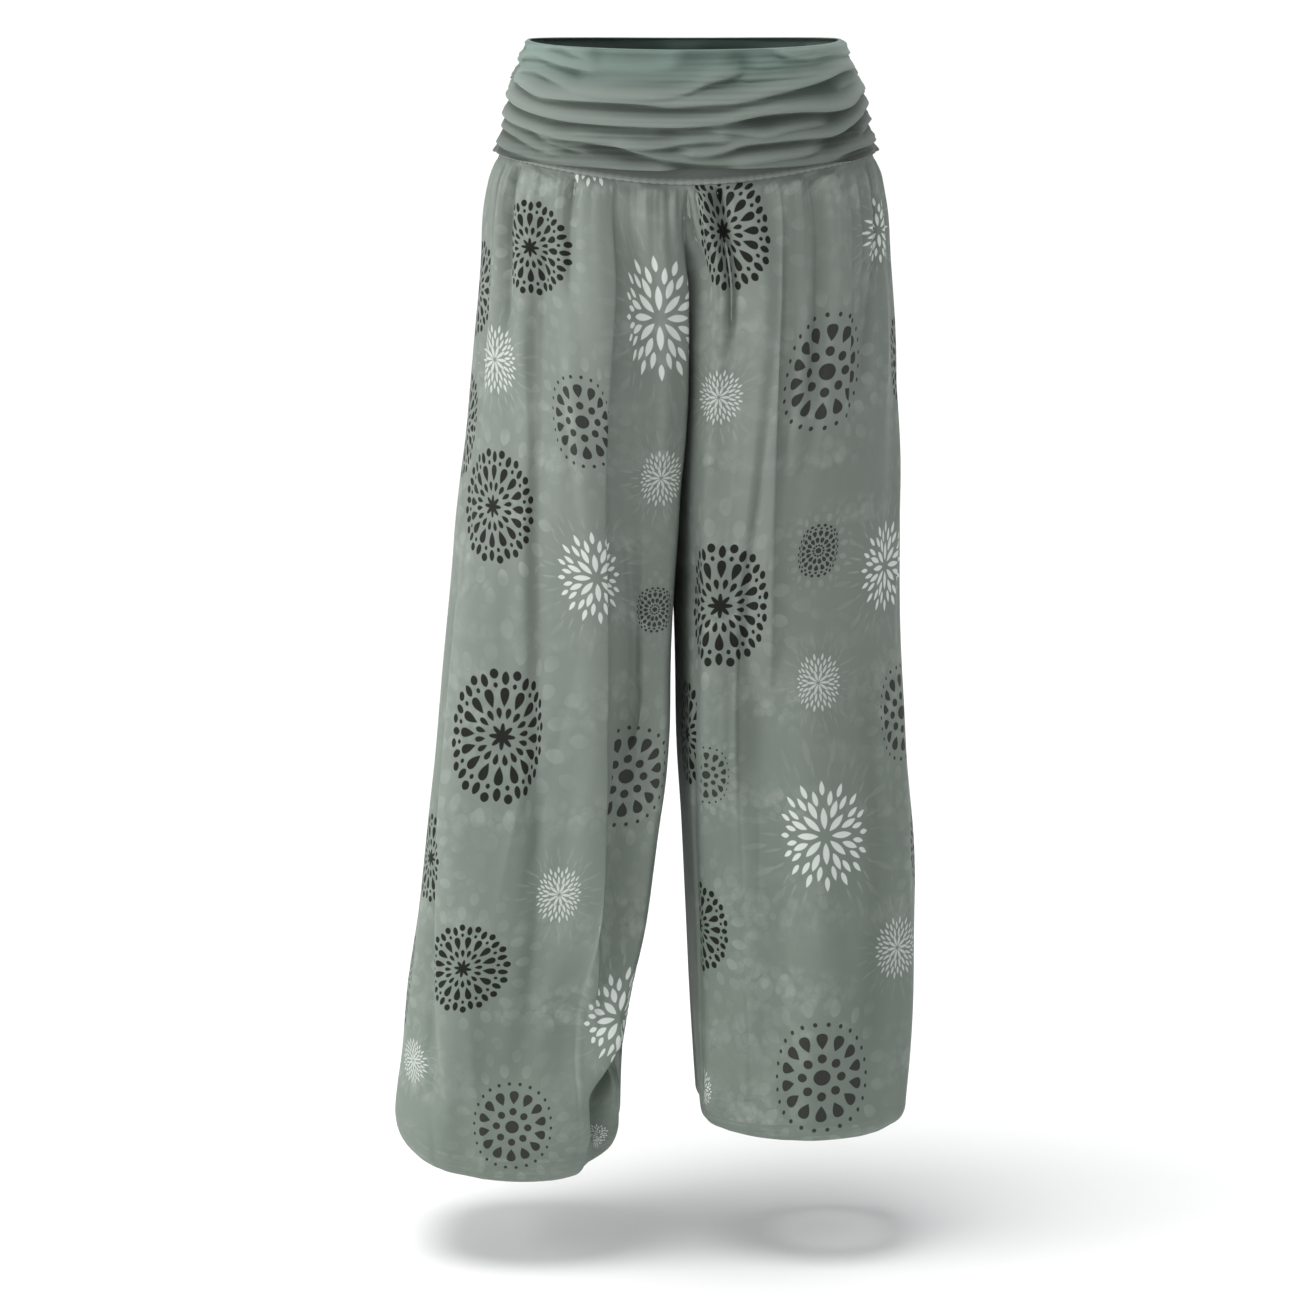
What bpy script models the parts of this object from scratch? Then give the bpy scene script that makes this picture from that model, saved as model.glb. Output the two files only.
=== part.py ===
"""Balloon-hem harem trousers with a ruched jersey waistband, in the form they take when worn.

Metres, +Z up. The front faces -Y and +X is the wearer's left. The origin is the middle of the waist
opening. Round a leg, turn 0 is the front crotch seam or inseam, 0.5 the outer side seam and 1 the back
crotch seam or inseam. Round the body, turn 0 is the front centre, 0.5 a side seam and 1 the back centre.
"""

import math
from collections import namedtuple

import bpy
import numpy as np

# Cloth
VISCOSE_WALL = 0.0013
YOKE_WALL = 0.0014
BAND_WALL = 0.0018
CASING_WALL = 0.0018
SEAM_GAP = 0.0003  # between the cut edges of two pieces
SQUARENESS = 0.055  # how far a section fills out the corners of its ellipse

# Waistband and yoke, as heights at the front centre, the side seams and the back centre
BAND_TOP = (0.008, 0.013, 0.010)
BAND_FOOT = (-0.093, -0.086, -0.092)
YOKE_FOOT = (-0.108, -0.089, -0.100)
YOKE_TUCK = 0.012  # how far the yoke goes up behind the band
BAND_POWER = 1.6  # how closely the dip of the band's edges keeps to the centre
YOKE_POWER = 3.4  # the same for the yoke seam
RUCHE_DROP = 0.45  # how far a ruche hangs over, as a share of its height
RUCHE_UNDER = 0.30  # share of the space between two ruches taken by the under side of the upper one

# Crotch
CROTCH = -0.462
FORK_ROUND = 1.5  # the crotch seam's curve near the yoke
FORK_POWER = 0.60  # the same near the crotch
FORK_NEAR = 0.16  # how far round from the crotch seam that curve reaches
FORK_FILL = 0.62  # makes up for the depth that a section loses while it divides into two legs
PARTED = -0.58  # where a leg's section is a closed ring all round

# Gathers below the yoke seam and at the hem casing, round one leg
GATHERS = 16
GATHER_HEIGHT = 0.0060
GATHER_RISE = 0.020  # below the yoke seam, where a gather is full
GATHER_REACH = 0.095  # about how far down a gather runs out
HEM_GATHER_HEIGHT = 0.0035
CASING_WAVE = 0.0007
HEM_BEND = 0.34  # share of the way in to the casing where the hem is lowest
CASING_HEIGHT = 0.020

# Rows of each grid
TORSO_ROWS = (0.0, 0.03, 0.08, 0.16, 0.28, 0.42, 0.56, 0.70, 0.82, 0.92, 0.975)
LEG_STEPS = 9
BEND_STEPS = 3
UNDER_STEPS = 4
COLUMNS_A_GATHER = 3
BODY_COLUMNS = 24
RUCHE_STEPS = (0.0, RUCHE_UNDER, 0.68)

Section = namedtuple("Section", "z inner outer front back")
Fold = namedtuple("Fold", "top foot turn_top turn_middle turn_foot height inward outward")
Ruche = namedtuple("Ruche", "right middle left height_right height_middle height_left")
Hem = namedtuple("Hem", "foot dip dip_turn corner ankle_x ankle_y ankle_radius casing_foot")
Leg = namedtuple("Leg", "name way sections folds hem")

RIGHT_SECTIONS = (
    Section(0.022, 0.0, -0.1370, -0.0940, 0.0955),
    Section(0.000, 0.0, -0.1455, -0.0975, 0.1000),
    Section(-0.041, 0.0, -0.1560, -0.1055, 0.1070),
    Section(-0.084, 0.0, -0.1680, -0.1125, 0.1140),
    Section(-0.100, 0.0, -0.1725, -0.1155, 0.1180),
    Section(-0.115, 0.0, -0.1765, -0.1195, 0.1225),
    Section(-0.135, 0.0, -0.1805, -0.1240, 0.1290),
    Section(-0.185, -0.001, -0.1850, -0.1280, 0.1370),
    Section(-0.260, -0.003, -0.1930, -0.1300, 0.1400),
    Section(-0.335, -0.006, -0.2010, -0.1280, 0.1340),
    Section(-0.410, -0.010, -0.2110, -0.1240, 0.1230),
    Section(-0.462, -0.012, -0.2155, -0.1210, 0.1160),
    Section(-0.560, -0.0135, -0.2255, -0.1170, 0.1080),
    Section(-0.634, -0.016, -0.2330, -0.1140, 0.1030),
    Section(-0.710, -0.025, -0.2420, -0.1120, 0.1010),
    Section(-0.790, -0.033, -0.2510, -0.1120, 0.1010),
    Section(-0.866, -0.045, -0.2620, -0.1130, 0.1020),
    Section(-0.925, -0.056, -0.2675, -0.1140, 0.1030),
    Section(-0.980, -0.062, -0.2750, -0.1140, 0.1030),
    Section(-1.035, -0.062, -0.2740, -0.1120, 0.1020),
)
LEFT_SECTIONS = (
    Section(0.022, 0.0, 0.1325, -0.0940, 0.0955),
    Section(0.000, 0.0, 0.1415, -0.0975, 0.1000),
    Section(-0.041, 0.0, 0.1565, -0.1055, 0.1070),
    Section(-0.084, 0.0, 0.1675, -0.1125, 0.1140),
    Section(-0.100, 0.0, 0.1720, -0.1155, 0.1180),
    Section(-0.115, 0.0, 0.1760, -0.1195, 0.1225),
    Section(-0.135, 0.0, 0.1805, -0.1240, 0.1290),
    Section(-0.185, -0.001, 0.1855, -0.1280, 0.1370),
    Section(-0.260, -0.003, 0.1910, -0.1300, 0.1400),
    Section(-0.335, -0.006, 0.1935, -0.1280, 0.1340),
    Section(-0.410, -0.010, 0.1960, -0.1240, 0.1230),
    Section(-0.462, -0.012, 0.1970, -0.1210, 0.1160),
    Section(-0.560, -0.0105, 0.2000, -0.1180, 0.1080),
    Section(-0.634, -0.009, 0.2040, -0.1160, 0.1030),
    Section(-0.710, -0.004, 0.2100, -0.1140, 0.1010),
    Section(-0.790, 0.000, 0.2130, -0.1130, 0.1010),
    Section(-0.866, 0.004, 0.2140, -0.1130, 0.1010),
    Section(-0.925, 0.008, 0.2130, -0.1120, 0.1000),
    Section(-0.965, 0.011, 0.2100, -0.1110, 0.0990),
    Section(-1.000, 0.014, 0.2070, -0.1100, 0.0980),
)
RIGHT_FOLDS = (
    Fold(-0.06, -0.95, 0.085, 0.190, 0.135, 0.0140, 0.014, 0.055),
    Fold(-0.07, -0.78, 0.200, 0.248, 0.268, -0.0060, 0.014, 0.020),
    Fold(-0.07, -0.74, 0.262, 0.300, 0.330, 0.0050, 0.030, 0.040),
    Fold(-0.06, -0.34, 0.350, 0.356, 0.362, 0.0045, 0.020, 0.016),
    Fold(-0.06, -0.40, 0.052, 0.056, 0.062, 0.0060, 0.016, 0.014),
    Fold(-0.06, -0.30, 0.088, 0.092, 0.098, -0.0040, 0.012, 0.012),
    Fold(-0.40, -0.97, 0.435, 0.405, 0.370, 0.0065, 0.034, 0.014),
    Fold(-0.84, -1.06, 0.020, 0.135, 0.190, 0.0140, 0.017, 0.060),
    Fold(-0.84, -1.04, 0.040, 0.060, 0.110, -0.0070, 0.026, 0.020),
    Fold(-0.56, -1.02, 0.225, 0.235, 0.255, -0.0035, 0.040, 0.040),
    Fold(-0.16, -0.84, 0.905, 0.885, 0.870, 0.0075, 0.030, 0.045),
    Fold(-0.13, -0.66, 0.850, 0.835, 0.825, -0.0060, 0.022, 0.018),
    Fold(-0.26, -0.96, 0.770, 0.790, 0.800, 0.0070, 0.040, 0.026),
    Fold(-0.12, -0.56, 0.690, 0.700, 0.715, -0.0055, 0.020, 0.024),
    Fold(-0.20, -0.70, 0.640, 0.635, 0.620, 0.0060, 0.026, 0.030),
    Fold(-0.55, -1.02, 0.715, 0.705, 0.690, -0.0050, 0.030, 0.030),
    Fold(-0.62, -1.02, 0.600, 0.585, 0.570, 0.0050, 0.026, 0.020),
    Fold(-0.70, -1.03, 0.930, 0.900, 0.860, 0.0080, 0.040, 0.026),
)
LEFT_FOLDS = (
    Fold(-0.06, -0.30, 0.045, 0.050, 0.055, -0.0060, 0.012, 0.012),
    Fold(-0.06, -0.48, 0.098, 0.105, 0.125, 0.0060, 0.036, 0.022),
    Fold(-0.06, -0.47, 0.145, 0.162, 0.184, -0.0090, 0.014, 0.016),
    Fold(-0.06, -0.38, 0.172, 0.184, 0.200, 0.0045, 0.014, 0.018),
    Fold(-0.06, -0.32, 0.200, 0.210, 0.222, -0.0050, 0.012, 0.012),
    Fold(-0.06, -0.36, 0.234, 0.240, 0.248, 0.0055, 0.016, 0.016),
    Fold(-0.06, -0.28, 0.262, 0.270, 0.278, -0.0045, 0.012, 0.014),
    Fold(-0.06, -0.26, 0.350, 0.352, 0.356, -0.0045, 0.014, 0.014),
    Fold(-0.34, -0.94, 0.130, 0.122, 0.085, 0.0080, 0.016, 0.060),
    Fold(-0.36, -0.96, 0.088, 0.082, 0.040, -0.0070, 0.032, 0.014),
    Fold(-0.46, -1.00, 0.196, 0.200, 0.190, -0.0040, 0.038, 0.040),
    Fold(-0.42, -1.00, 0.280, 0.282, 0.272, 0.0045, 0.040, 0.040),
    Fold(-0.44, -1.00, 0.356, 0.360, 0.350, -0.0040, 0.030, 0.030),
    Fold(-0.50, -0.96, 0.430, 0.425, 0.415, 0.0040, 0.026, 0.022),
    Fold(-0.16, -0.80, 0.910, 0.895, 0.885, 0.0070, 0.028, 0.045),
    Fold(-0.13, -0.60, 0.845, 0.840, 0.835, -0.0060, 0.020, 0.020),
    Fold(-0.24, -0.92, 0.785, 0.775, 0.765, 0.0065, 0.034, 0.030),
    Fold(-0.12, -0.52, 0.710, 0.700, 0.690, -0.0055, 0.022, 0.020),
    Fold(-0.18, -0.74, 0.655, 0.640, 0.630, 0.0060, 0.024, 0.030),
    Fold(-0.52, -0.99, 0.700, 0.710, 0.725, -0.0045, 0.030, 0.034),
    Fold(-0.60, -0.99, 0.590, 0.595, 0.600, 0.0045, 0.024, 0.022),
    Fold(-0.66, -1.00, 0.900, 0.910, 0.925, 0.0060, 0.030, 0.034),
)
FRONT_RUCHES = (
    Ruche(0.12, 0.17, 0.09, 0.0040, 0.0015, 0.0036),
    Ruche(0.30, 0.42, 0.22, 0.0046, 0.0042, 0.0040),
    Ruche(0.40, 0.55, 0.34, 0.0026, 0.0026, 0.0030),
    Ruche(0.50, 0.655, 0.46, 0.0046, 0.0040, 0.0046),
    Ruche(0.62, 0.76, 0.58, 0.0030, 0.0036, 0.0030),
    Ruche(0.75, 0.855, 0.74, 0.0046, 0.0030, 0.0046),
    Ruche(0.90, 0.935, 0.90, 0.0032, 0.0036, 0.0036),
)
BACK_RUCHES = (
    Ruche(0.12, 0.15, 0.09, 0.0040, 0.0020, 0.0036),
    Ruche(0.30, 0.38, 0.22, 0.0046, 0.0036, 0.0040),
    Ruche(0.40, 0.50, 0.34, 0.0026, 0.0034, 0.0030),
    Ruche(0.50, 0.61, 0.46, 0.0046, 0.0034, 0.0046),
    Ruche(0.62, 0.73, 0.58, 0.0030, 0.0040, 0.0030),
    Ruche(0.75, 0.83, 0.74, 0.0046, 0.0028, 0.0046),
    Ruche(0.90, 0.935, 0.90, 0.0032, 0.0034, 0.0036),
)
RIGHT_HEM = Hem(-1.0175, 0.0175, 0.19, 0.034, -0.180, 0.012, 0.048, -1.010)
LEFT_HEM = Hem(-0.9905, 0.0045, 0.25, 0.022, 0.124, 0.012, 0.048, -0.987)
RIGHT = Leg("right", -1, RIGHT_SECTIONS, RIGHT_FOLDS, RIGHT_HEM)
LEFT = Leg("left", 1, LEFT_SECTIONS, LEFT_FOLDS, LEFT_HEM)


def smooth(value):
    """Ease from 0 to 1 with no slope at either end."""
    value = np.clip(value, 0.0, 1.0)
    return value * value * (3.0 - 2.0 * value)


def column(sections, name, z):
    """One column of a table of sections at height z, on a smooth curve through its rows."""
    depths = np.array([-row.z for row in sections])
    values = np.array([getattr(row, name) for row in sections])
    slopes = np.gradient(values, depths)
    depth = np.clip(-z, depths[0], depths[-1])
    k = np.clip(np.searchsorted(depths, depth) - 1, 0, len(depths) - 2)
    step = depths[k + 1] - depths[k]
    t = (depth - depths[k]) / step
    before = (1 + 2 * t) * (1 - t) ** 2 * values[k] + t * (1 - t) ** 2 * step * slopes[k]
    return before + t * t * (3 - 2 * t) * values[k + 1] + t * t * (t - 1) * step * slopes[k + 1]


def round_seam(heights, power, turn):
    """Height of a seam that goes round the body, from its heights at front, side and back."""
    front, side, back = heights
    ahead = np.cos(math.pi * turn)
    dip = np.abs(ahead) ** power
    return side + dip * np.where(ahead > 0, front - side, back - side)


def section_point(leg, turn, z):
    """Place on the plain section of a leg or of its half of the body, as x and y."""
    inner, outer, front, back = (column(leg.sections, name, z) for name in Section._fields[1:])
    deep = np.clip((YOKE_FOOT[1] - z) / (YOKE_FOOT[1] - CROTCH), 0.0, 1.0)
    seam_fork = 1 - (1 - deep**FORK_ROUND) ** FORK_POWER
    round_fork = smooth((YOKE_FOOT[1] - z) / (YOKE_FOOT[1] - PARTED))
    near = np.exp(-((np.sin(math.pi * turn) / FORK_NEAR) ** 2))
    fork = round_fork + near * (seam_fork - round_fork)
    body_angle, leg_angle = math.pi * turn, 2 * math.pi * turn
    body_fill = 1 + SQUARENESS * np.sin(2 * body_angle) ** 2
    leg_fill = 1 + SQUARENESS * np.sin(2 * leg_angle) ** 2
    width, depth = outer - inner, (back - front) / 2
    body_x = width * np.sin(body_angle) * body_fill
    leg_x = width * (1 - np.cos(leg_angle) * leg_fill) / 2
    body_y = -depth * np.cos(body_angle) * body_fill
    leg_y = -depth * np.sin(leg_angle) * leg_fill
    fill = 1 + FORK_FILL * round_fork * (1 - round_fork)
    x = inner + (1 - fork) * body_x + fork * leg_x
    y = (front + back) / 2 + fill * ((1 - fork) * body_y + fork * leg_y)
    return x, y


def outward(leg, turn, z):
    """Level direction straight out from the plain section."""
    before_x, before_y = section_point(leg, np.clip(turn - 0.002, 0, 1), z)
    after_x, after_y = section_point(leg, np.clip(turn + 0.002, 0, 1), z)
    along_x, along_y = after_x - before_x, after_y - before_y
    length = np.hypot(along_x, along_y)
    return leg.way * along_y / length, -leg.way * along_x / length


def gather_phase(turn):
    """Count of the gathers up to a place round the leg, uneven in width, with a valley at each seam."""
    return GATHERS * turn + 0.5 + 0.22 * np.sin(6 * math.pi * turn) + 0.10 * np.sin(12 * math.pi * turn)


def ridge(phase):
    """Gathers in a row: round tops with sharp valleys, 0.5 to -0.36."""
    return np.sqrt(np.cos(math.pi * phase) ** 2 + 0.02) - 0.5


def fold_height(leg, turn, z):
    """How far the cloth stands out from the plain section."""
    total = np.zeros(np.broadcast(turn, z).shape)
    for fold in leg.folds:
        t = np.clip((fold.top - z) / (fold.top - fold.foot), 0.0, 1.0)
        bend = 2 * fold.turn_middle - (fold.turn_top + fold.turn_foot) / 2
        centre = (1 - t) ** 2 * fold.turn_top + 2 * t * (1 - t) * bend + t * t * fold.turn_foot
        away = (turn - centre + 0.5) % 1.0 - 0.5
        width = np.where(away < 0, fold.inward, fold.outward)
        length = smooth(t / 0.22) * smooth((1 - t) / 0.22)
        total = total + fold.height * length * np.exp(-((away / width) ** 2))
    drop = round_seam(YOKE_FOOT, YOKE_POWER, turn) - z
    reach = GATHER_REACH * (1 + 0.45 * np.sin(2 * math.pi * 5 * turn + 2 * leg.way))
    swell = smooth(drop / GATHER_RISE) * np.exp(-(np.maximum(drop, 0) / reach) ** 1.5)
    return total + GATHER_HEIGHT * swell * ridge(gather_phase(turn))


def leg_surface(leg, turn, down):
    """Outer face of a leg. Down is 1 at the crotch, 2 and 3 round the hem's bend and 4 at the casing."""
    turn, down = np.broadcast_arrays(np.asarray(turn, float), np.asarray(down, float))
    hem = leg.hem
    top = round_seam(YOKE_FOOT, YOKE_POWER, turn) - SEAM_GAP
    foot = hem.foot - hem.dip * np.cos(2 * math.pi * (turn - hem.dip_turn))
    z = np.where(down < 1, top + (CROTCH - top) * down, CROTCH + (foot + hem.corner - CROTCH) * (down - 1))
    z = np.maximum(z, foot + hem.corner)
    x, y = section_point(leg, turn, z)
    out_x, out_y = outward(leg, turn, z)
    height = fold_height(leg, turn, z)
    apart = smooth((np.abs(z - CROTCH) - 0.10) / 0.10)
    near = np.exp(-((np.sin(math.pi * turn) / 0.10) ** 2))
    height = np.where(height > 0, height * (1 - near * (1 - apart)), height)
    x, y = x + height * out_x, y + height * out_y
    bend = 0.5 * math.pi * np.clip(down - 2, 0, 1)
    under = np.clip(down - 3, 0, 1)
    share = HEM_BEND * (1 - np.cos(bend)) + (1 - HEM_BEND) * under
    radius = casing_radius(leg, turn) + CASING_WALL + SEAM_GAP
    ring_x = hem.ankle_x - leg.way * radius * np.cos(2 * math.pi * turn)
    ring_y = hem.ankle_y - radius * np.sin(2 * math.pi * turn)
    x, y = x + share * (ring_x - x), y + share * (ring_y - y)
    end = hem.casing_foot + CASING_HEIGHT - VISCOSE_WALL - 0.002
    z = z - hem.corner * np.sin(bend) + (end - foot) * smooth(under)
    z = z + HEM_GATHER_HEIGHT * ridge(gather_phase(turn)) * (under * (1 - under)) * 2.4
    return np.stack([x, y, z], axis=-1)


def casing_radius(leg, turn):
    """Inner radius of the elastic casing, drawn up in small waves."""
    return leg.hem.ankle_radius + CASING_WAVE * np.cos(2 * math.pi * gather_phase(turn))


def unit(vectors):
    """The same directions at length 1."""
    return vectors / np.linalg.norm(vectors, axis=-1, keepdims=True)


def leg_normals(leg, turn, down):
    """Outward direction of a leg's cloth at every point of a grid."""
    closed = down > 1
    before = np.where(closed, (turn - 0.002) % 1.0, np.maximum(turn - 0.002, 0))
    after = np.where(closed, (turn + 0.002) % 1.0, np.minimum(turn + 0.002, 1))
    along = leg_surface(leg, after, down) - leg_surface(leg, before, down)
    above, below = np.maximum(down - 0.01, 0), np.minimum(down + 0.01, 4)
    fall = leg_surface(leg, turn, below) - leg_surface(leg, turn, above)
    return unit(-leg.way * np.cross(along, fall))


def solid(name, outer, inner, material, ring=False):
    """One closed wall between two grids of points that have the same rows and columns."""
    rows, columns = outer.shape[:2]
    if (outer[0, 0] - inner[0, 0]).dot(np.cross(outer[0, 1] - outer[0, 0], outer[1, 0] - outer[0, 0])) < 0:
        outer, inner = outer[:, ::-1], inner[:, ::-1]
    points = np.concatenate([outer.reshape(-1, 3), inner.reshape(-1, 3)])
    far = rows * columns
    spans = columns if ring else columns - 1
    faces = []
    for i in range(rows - 1):
        for j in range(spans):
            a, b = i * columns + j, i * columns + (j + 1) % columns
            c, d = b + columns, a + columns
            if np.linalg.norm(points[a] - points[c]) <= np.linalg.norm(points[b] - points[d]):
                halves = ((a, b, c), (a, c, d))
            else:
                halves = ((a, b, d), (b, c, d))
            faces += halves
            faces += [(p + far, r + far, q + far) for p, q, r in halves]
    edges = [(j, (j + 1) % columns) for j in range(spans)]
    edges += [(far - columns + (j + 1) % columns, far - columns + j) for j in range(spans)]
    if not ring:
        edges += [(i * columns + columns - 1, (i + 1) * columns + columns - 1) for i in range(rows - 1)]
        edges += [((i + 1) * columns, i * columns) for i in range(rows - 1)]
    for a, b in edges:
        faces += [(b, a, a + far), (b, a + far, b + far)]
    mesh = bpy.data.meshes.new(name)
    mesh.from_pydata([tuple(point) for point in points], [], faces)
    mesh.materials.append(material)
    mesh.validate()
    return bpy.data.objects.new(name, mesh)


def leg_columns(back):
    """Turns of the columns of a front or a back panel, with one in the valley of every gather."""
    fine = np.linspace(0.5, 1.0, 2001) if back else np.linspace(0.0, 0.5, 2001)
    first, last = gather_phase(fine[0]), gather_phase(fine[-1])
    count = round((last - first) * COLUMNS_A_GATHER)
    return np.interp(np.linspace(first, last, count + 1), gather_phase(fine), fine)


def leg_panel(leg, back, material):
    """Front or back cloth of one leg, from the yoke seam to the hem casing."""
    rows = list(TORSO_ROWS)
    rows += [1 + k / LEG_STEPS for k in range(LEG_STEPS + 1)]
    rows += [2 + k / BEND_STEPS for k in range(1, BEND_STEPS + 1)]
    rows += [3 + k / UNDER_STEPS for k in range(1, UNDER_STEPS + 1)]
    turn, down = np.meshgrid(leg_columns(back), rows)
    outer = leg_surface(leg, turn, down)
    normal = leg_normals(leg, turn, down)
    crotch_row = len(TORSO_ROWS)
    seam = column(leg.sections, "inner", outer[:, :, 2])
    centre, neighbour = (-1, -2) if back else (0, 1)
    side, beside = (0, 1) if back else (-1, -2)
    across = leg.way * normal[: crotch_row + 1, centre, 0]
    normal[: crotch_row + 1, centre, 0] = leg.way * np.minimum(across, 0)
    normal[crotch_row, centre, 1] = 0
    normal[0, :, 2] = 0
    normal[-1] = (0, 0, -1)
    normal = unit(normal)
    for edge, next_to in ((centre, neighbour), (side, beside)):
        step = unit(outer[:, next_to] - outer[:, edge]) * SEAM_GAP / 2
        if edge == centre:
            step[:crotch_row] = 0
            step[crotch_row] = (0, 1e-4 + SEAM_GAP / 2 if back else -1e-4 - SEAM_GAP / 2, 0)
        outer[:, edge] += step
    inner = outer - VISCOSE_WALL * normal
    for wall in (outer, inner):
        close = wall[:, :, 2] > -0.60
        gap = np.maximum(leg.way * (wall[:, :, 0] - seam), SEAM_GAP / 2)
        wall[:, :, 0] = np.where(close, seam + leg.way * gap, wall[:, :, 0])
    name = f"leg_{'back' if back else 'front'}_{leg.name}"
    return solid(name, outer, inner, material)


def round_body(back):
    """Turns and legs of the columns from the right side seam to the left one."""
    across = np.linspace(-1, 1, BODY_COLUMNS + 1)
    turn = 0.5 * np.abs(across)
    return across, (1 - turn if back else turn)


def body_wall(turn, across, z, lift):
    """Points a given distance out from the body, and the way out, for a grid of turns and heights."""
    places, ways = np.zeros(z.shape + (3,)), np.zeros(z.shape + (3,))
    for leg, here in ((RIGHT, across < 0), (LEFT, across >= 0)):
        x, y = section_point(leg, turn, z)
        out_x, out_y = outward(leg, turn, z)
        out_x = np.where((turn == 0) | (turn == 1), 0.0, out_x)
        out_y = np.where(turn == 0.5, 0.0, out_y)
        length = np.hypot(out_x, out_y)
        out = np.stack([out_x / length, out_y / length, 0 * z], axis=-1)
        places[here] = (np.stack([x, y, z], axis=-1) + lift[..., None] * out)[here]
        ways[here] = out[here]
    return places, ways


def trim_sides(wall, back):
    """Cut the edges at the two side seams back by half of the seam gap."""
    way = 1 if back else -1
    wall[:, 0, 1] += way * SEAM_GAP / 2
    wall[:, -1, 1] += way * SEAM_GAP / 2
    return wall


def band(back, ruches, material):
    """Ruched jersey band over the front or the back of the waist."""
    across, turn = round_body(back)
    share = (across + 1) / 2
    marks, heights = [np.zeros_like(share)], [np.full_like(share, 0.0006)]
    for r in ruches:
        bow = 4 * share * (1 - share)
        marks.append((1 - share) * r.right + share * r.left + bow * (r.middle - (r.right + r.left) / 2))
        level = (1 - share) * r.height_right + share * r.height_left
        heights.append(level + bow * (r.height_middle - (r.height_right + r.height_left) / 2))
    marks.append(np.ones_like(share))
    heights.append(np.zeros_like(share))
    downs, lifts = [], []
    for k in range(len(marks) - 1):
        for p in RUCHE_STEPS:
            fall = heights[k] * (1 - smooth(p / RUCHE_UNDER))
            rise = heights[k + 1] * np.clip((p - RUCHE_UNDER) / (1 - RUCHE_UNDER), 0, 1) ** 1.5
            downs.append(marks[k] + p * (marks[k + 1] - marks[k]))
            lifts.append(fall + rise)
    downs.append(marks[-1])
    lifts.append(heights[-1])
    down, lift = np.array(downs), np.array(lifts)
    turn, across = np.broadcast_to(turn, down.shape), np.broadcast_to(across, down.shape)
    top = round_seam(BAND_TOP, BAND_POWER, turn)
    foot = round_seam(BAND_FOOT, BAND_POWER, turn)
    z = top + (foot - top) * down
    plain, out = body_wall(turn, across, z, lift * 0)
    outer = plain + (BAND_WALL + SEAM_GAP + lift)[..., None] * out
    inner = plain + (SEAM_GAP + lift)[..., None] * out
    outer[..., 2] -= RUCHE_DROP * lift
    inner[..., 2] -= RUCHE_DROP * lift
    name = "band_back" if back else "band_front"
    return solid(name, trim_sides(outer, back), trim_sides(inner, back), material)


def yoke(back, material):
    """Plain strip between the band and the gathered legs."""
    across, turn = round_body(back)
    top = round_seam(BAND_FOOT, BAND_POWER, turn) + YOKE_TUCK
    foot = round_seam(YOKE_FOOT, YOKE_POWER, turn)
    z = np.array([top, (top + foot) / 2, foot])
    turn, across = np.broadcast_to(turn, z.shape), np.broadcast_to(across, z.shape)
    outer, out = body_wall(turn, across, z, z * 0)
    inner = outer - YOKE_WALL * out
    name = "yoke_back" if back else "yoke_front"
    return solid(name, trim_sides(outer, back), trim_sides(inner, back), material)


def cuff(leg, material):
    """Elastic casing round the ankle."""
    turn = np.concatenate([leg_columns(False)[:-1], leg_columns(True)[:-1]])
    z = leg.hem.casing_foot + CASING_HEIGHT * np.array([[1.0], [0.5], [0.0]])
    turn, z = np.broadcast_arrays(turn, z)
    walls = []
    for extra in (CASING_WALL, 0.0):
        radius = casing_radius(leg, turn) + extra
        x = leg.hem.ankle_x - leg.way * radius * np.cos(2 * math.pi * turn)
        y = leg.hem.ankle_y - radius * np.sin(2 * math.pi * turn)
        walls.append(np.stack([x, y, z], axis=-1))
    return solid(f"cuff_{leg.name}", walls[0], walls[1], material, ring=True)


def cloth(name, colour, roughness):
    """Plain cloth of one colour."""
    material = bpy.data.materials.new(name)
    material.use_nodes = True
    shader = material.node_tree.nodes["Principled BSDF"]
    shader.inputs["Base Color"].default_value = (*colour, 1.0)
    shader.inputs["Roughness"].default_value = roughness
    return material


def main():
    """Make the ten pieces of the trousers."""
    for old in list(bpy.data.objects):
        bpy.data.objects.remove(old, do_unlink=True)
    trousers = bpy.data.collections.new("harem_trousers")
    bpy.context.scene.collection.children.link(trousers)
    print_cloth, jersey = "print_viscose", "jersey"
    shades = {
        "band_front": (jersey, (0.10, 0.13, 0.115)),
        "band_back": (jersey, (0.11, 0.14, 0.125)),
        "yoke_front": (jersey, (0.15, 0.17, 0.155)),
        "yoke_back": (jersey, (0.14, 0.16, 0.145)),
        "leg_front_right": (print_cloth, (0.28, 0.33, 0.29)),
        "leg_back_right": (print_cloth, (0.24, 0.29, 0.25)),
        "leg_front_left": (print_cloth, (0.30, 0.35, 0.31)),
        "leg_back_left": (print_cloth, (0.25, 0.30, 0.26)),
        "cuff_right": (print_cloth, (0.20, 0.24, 0.21)),
        "cuff_left": (print_cloth, (0.20, 0.24, 0.21)),
    }
    finish = {name: cloth(f"{name}_{kind}", colour, 0.85) for name, (kind, colour) in shades.items()}
    parts = [
        band(False, FRONT_RUCHES, finish["band_front"]),
        band(True, BACK_RUCHES, finish["band_back"]),
        yoke(False, finish["yoke_front"]),
        yoke(True, finish["yoke_back"]),
    ]
    for leg in (RIGHT, LEFT):
        parts.append(leg_panel(leg, False, finish[f"leg_front_{leg.name}"]))
        parts.append(leg_panel(leg, True, finish[f"leg_back_{leg.name}"]))
        parts.append(cuff(leg, finish[f"cuff_{leg.name}"]))
    for part in parts:
        trousers.objects.link(part)


main()
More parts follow.
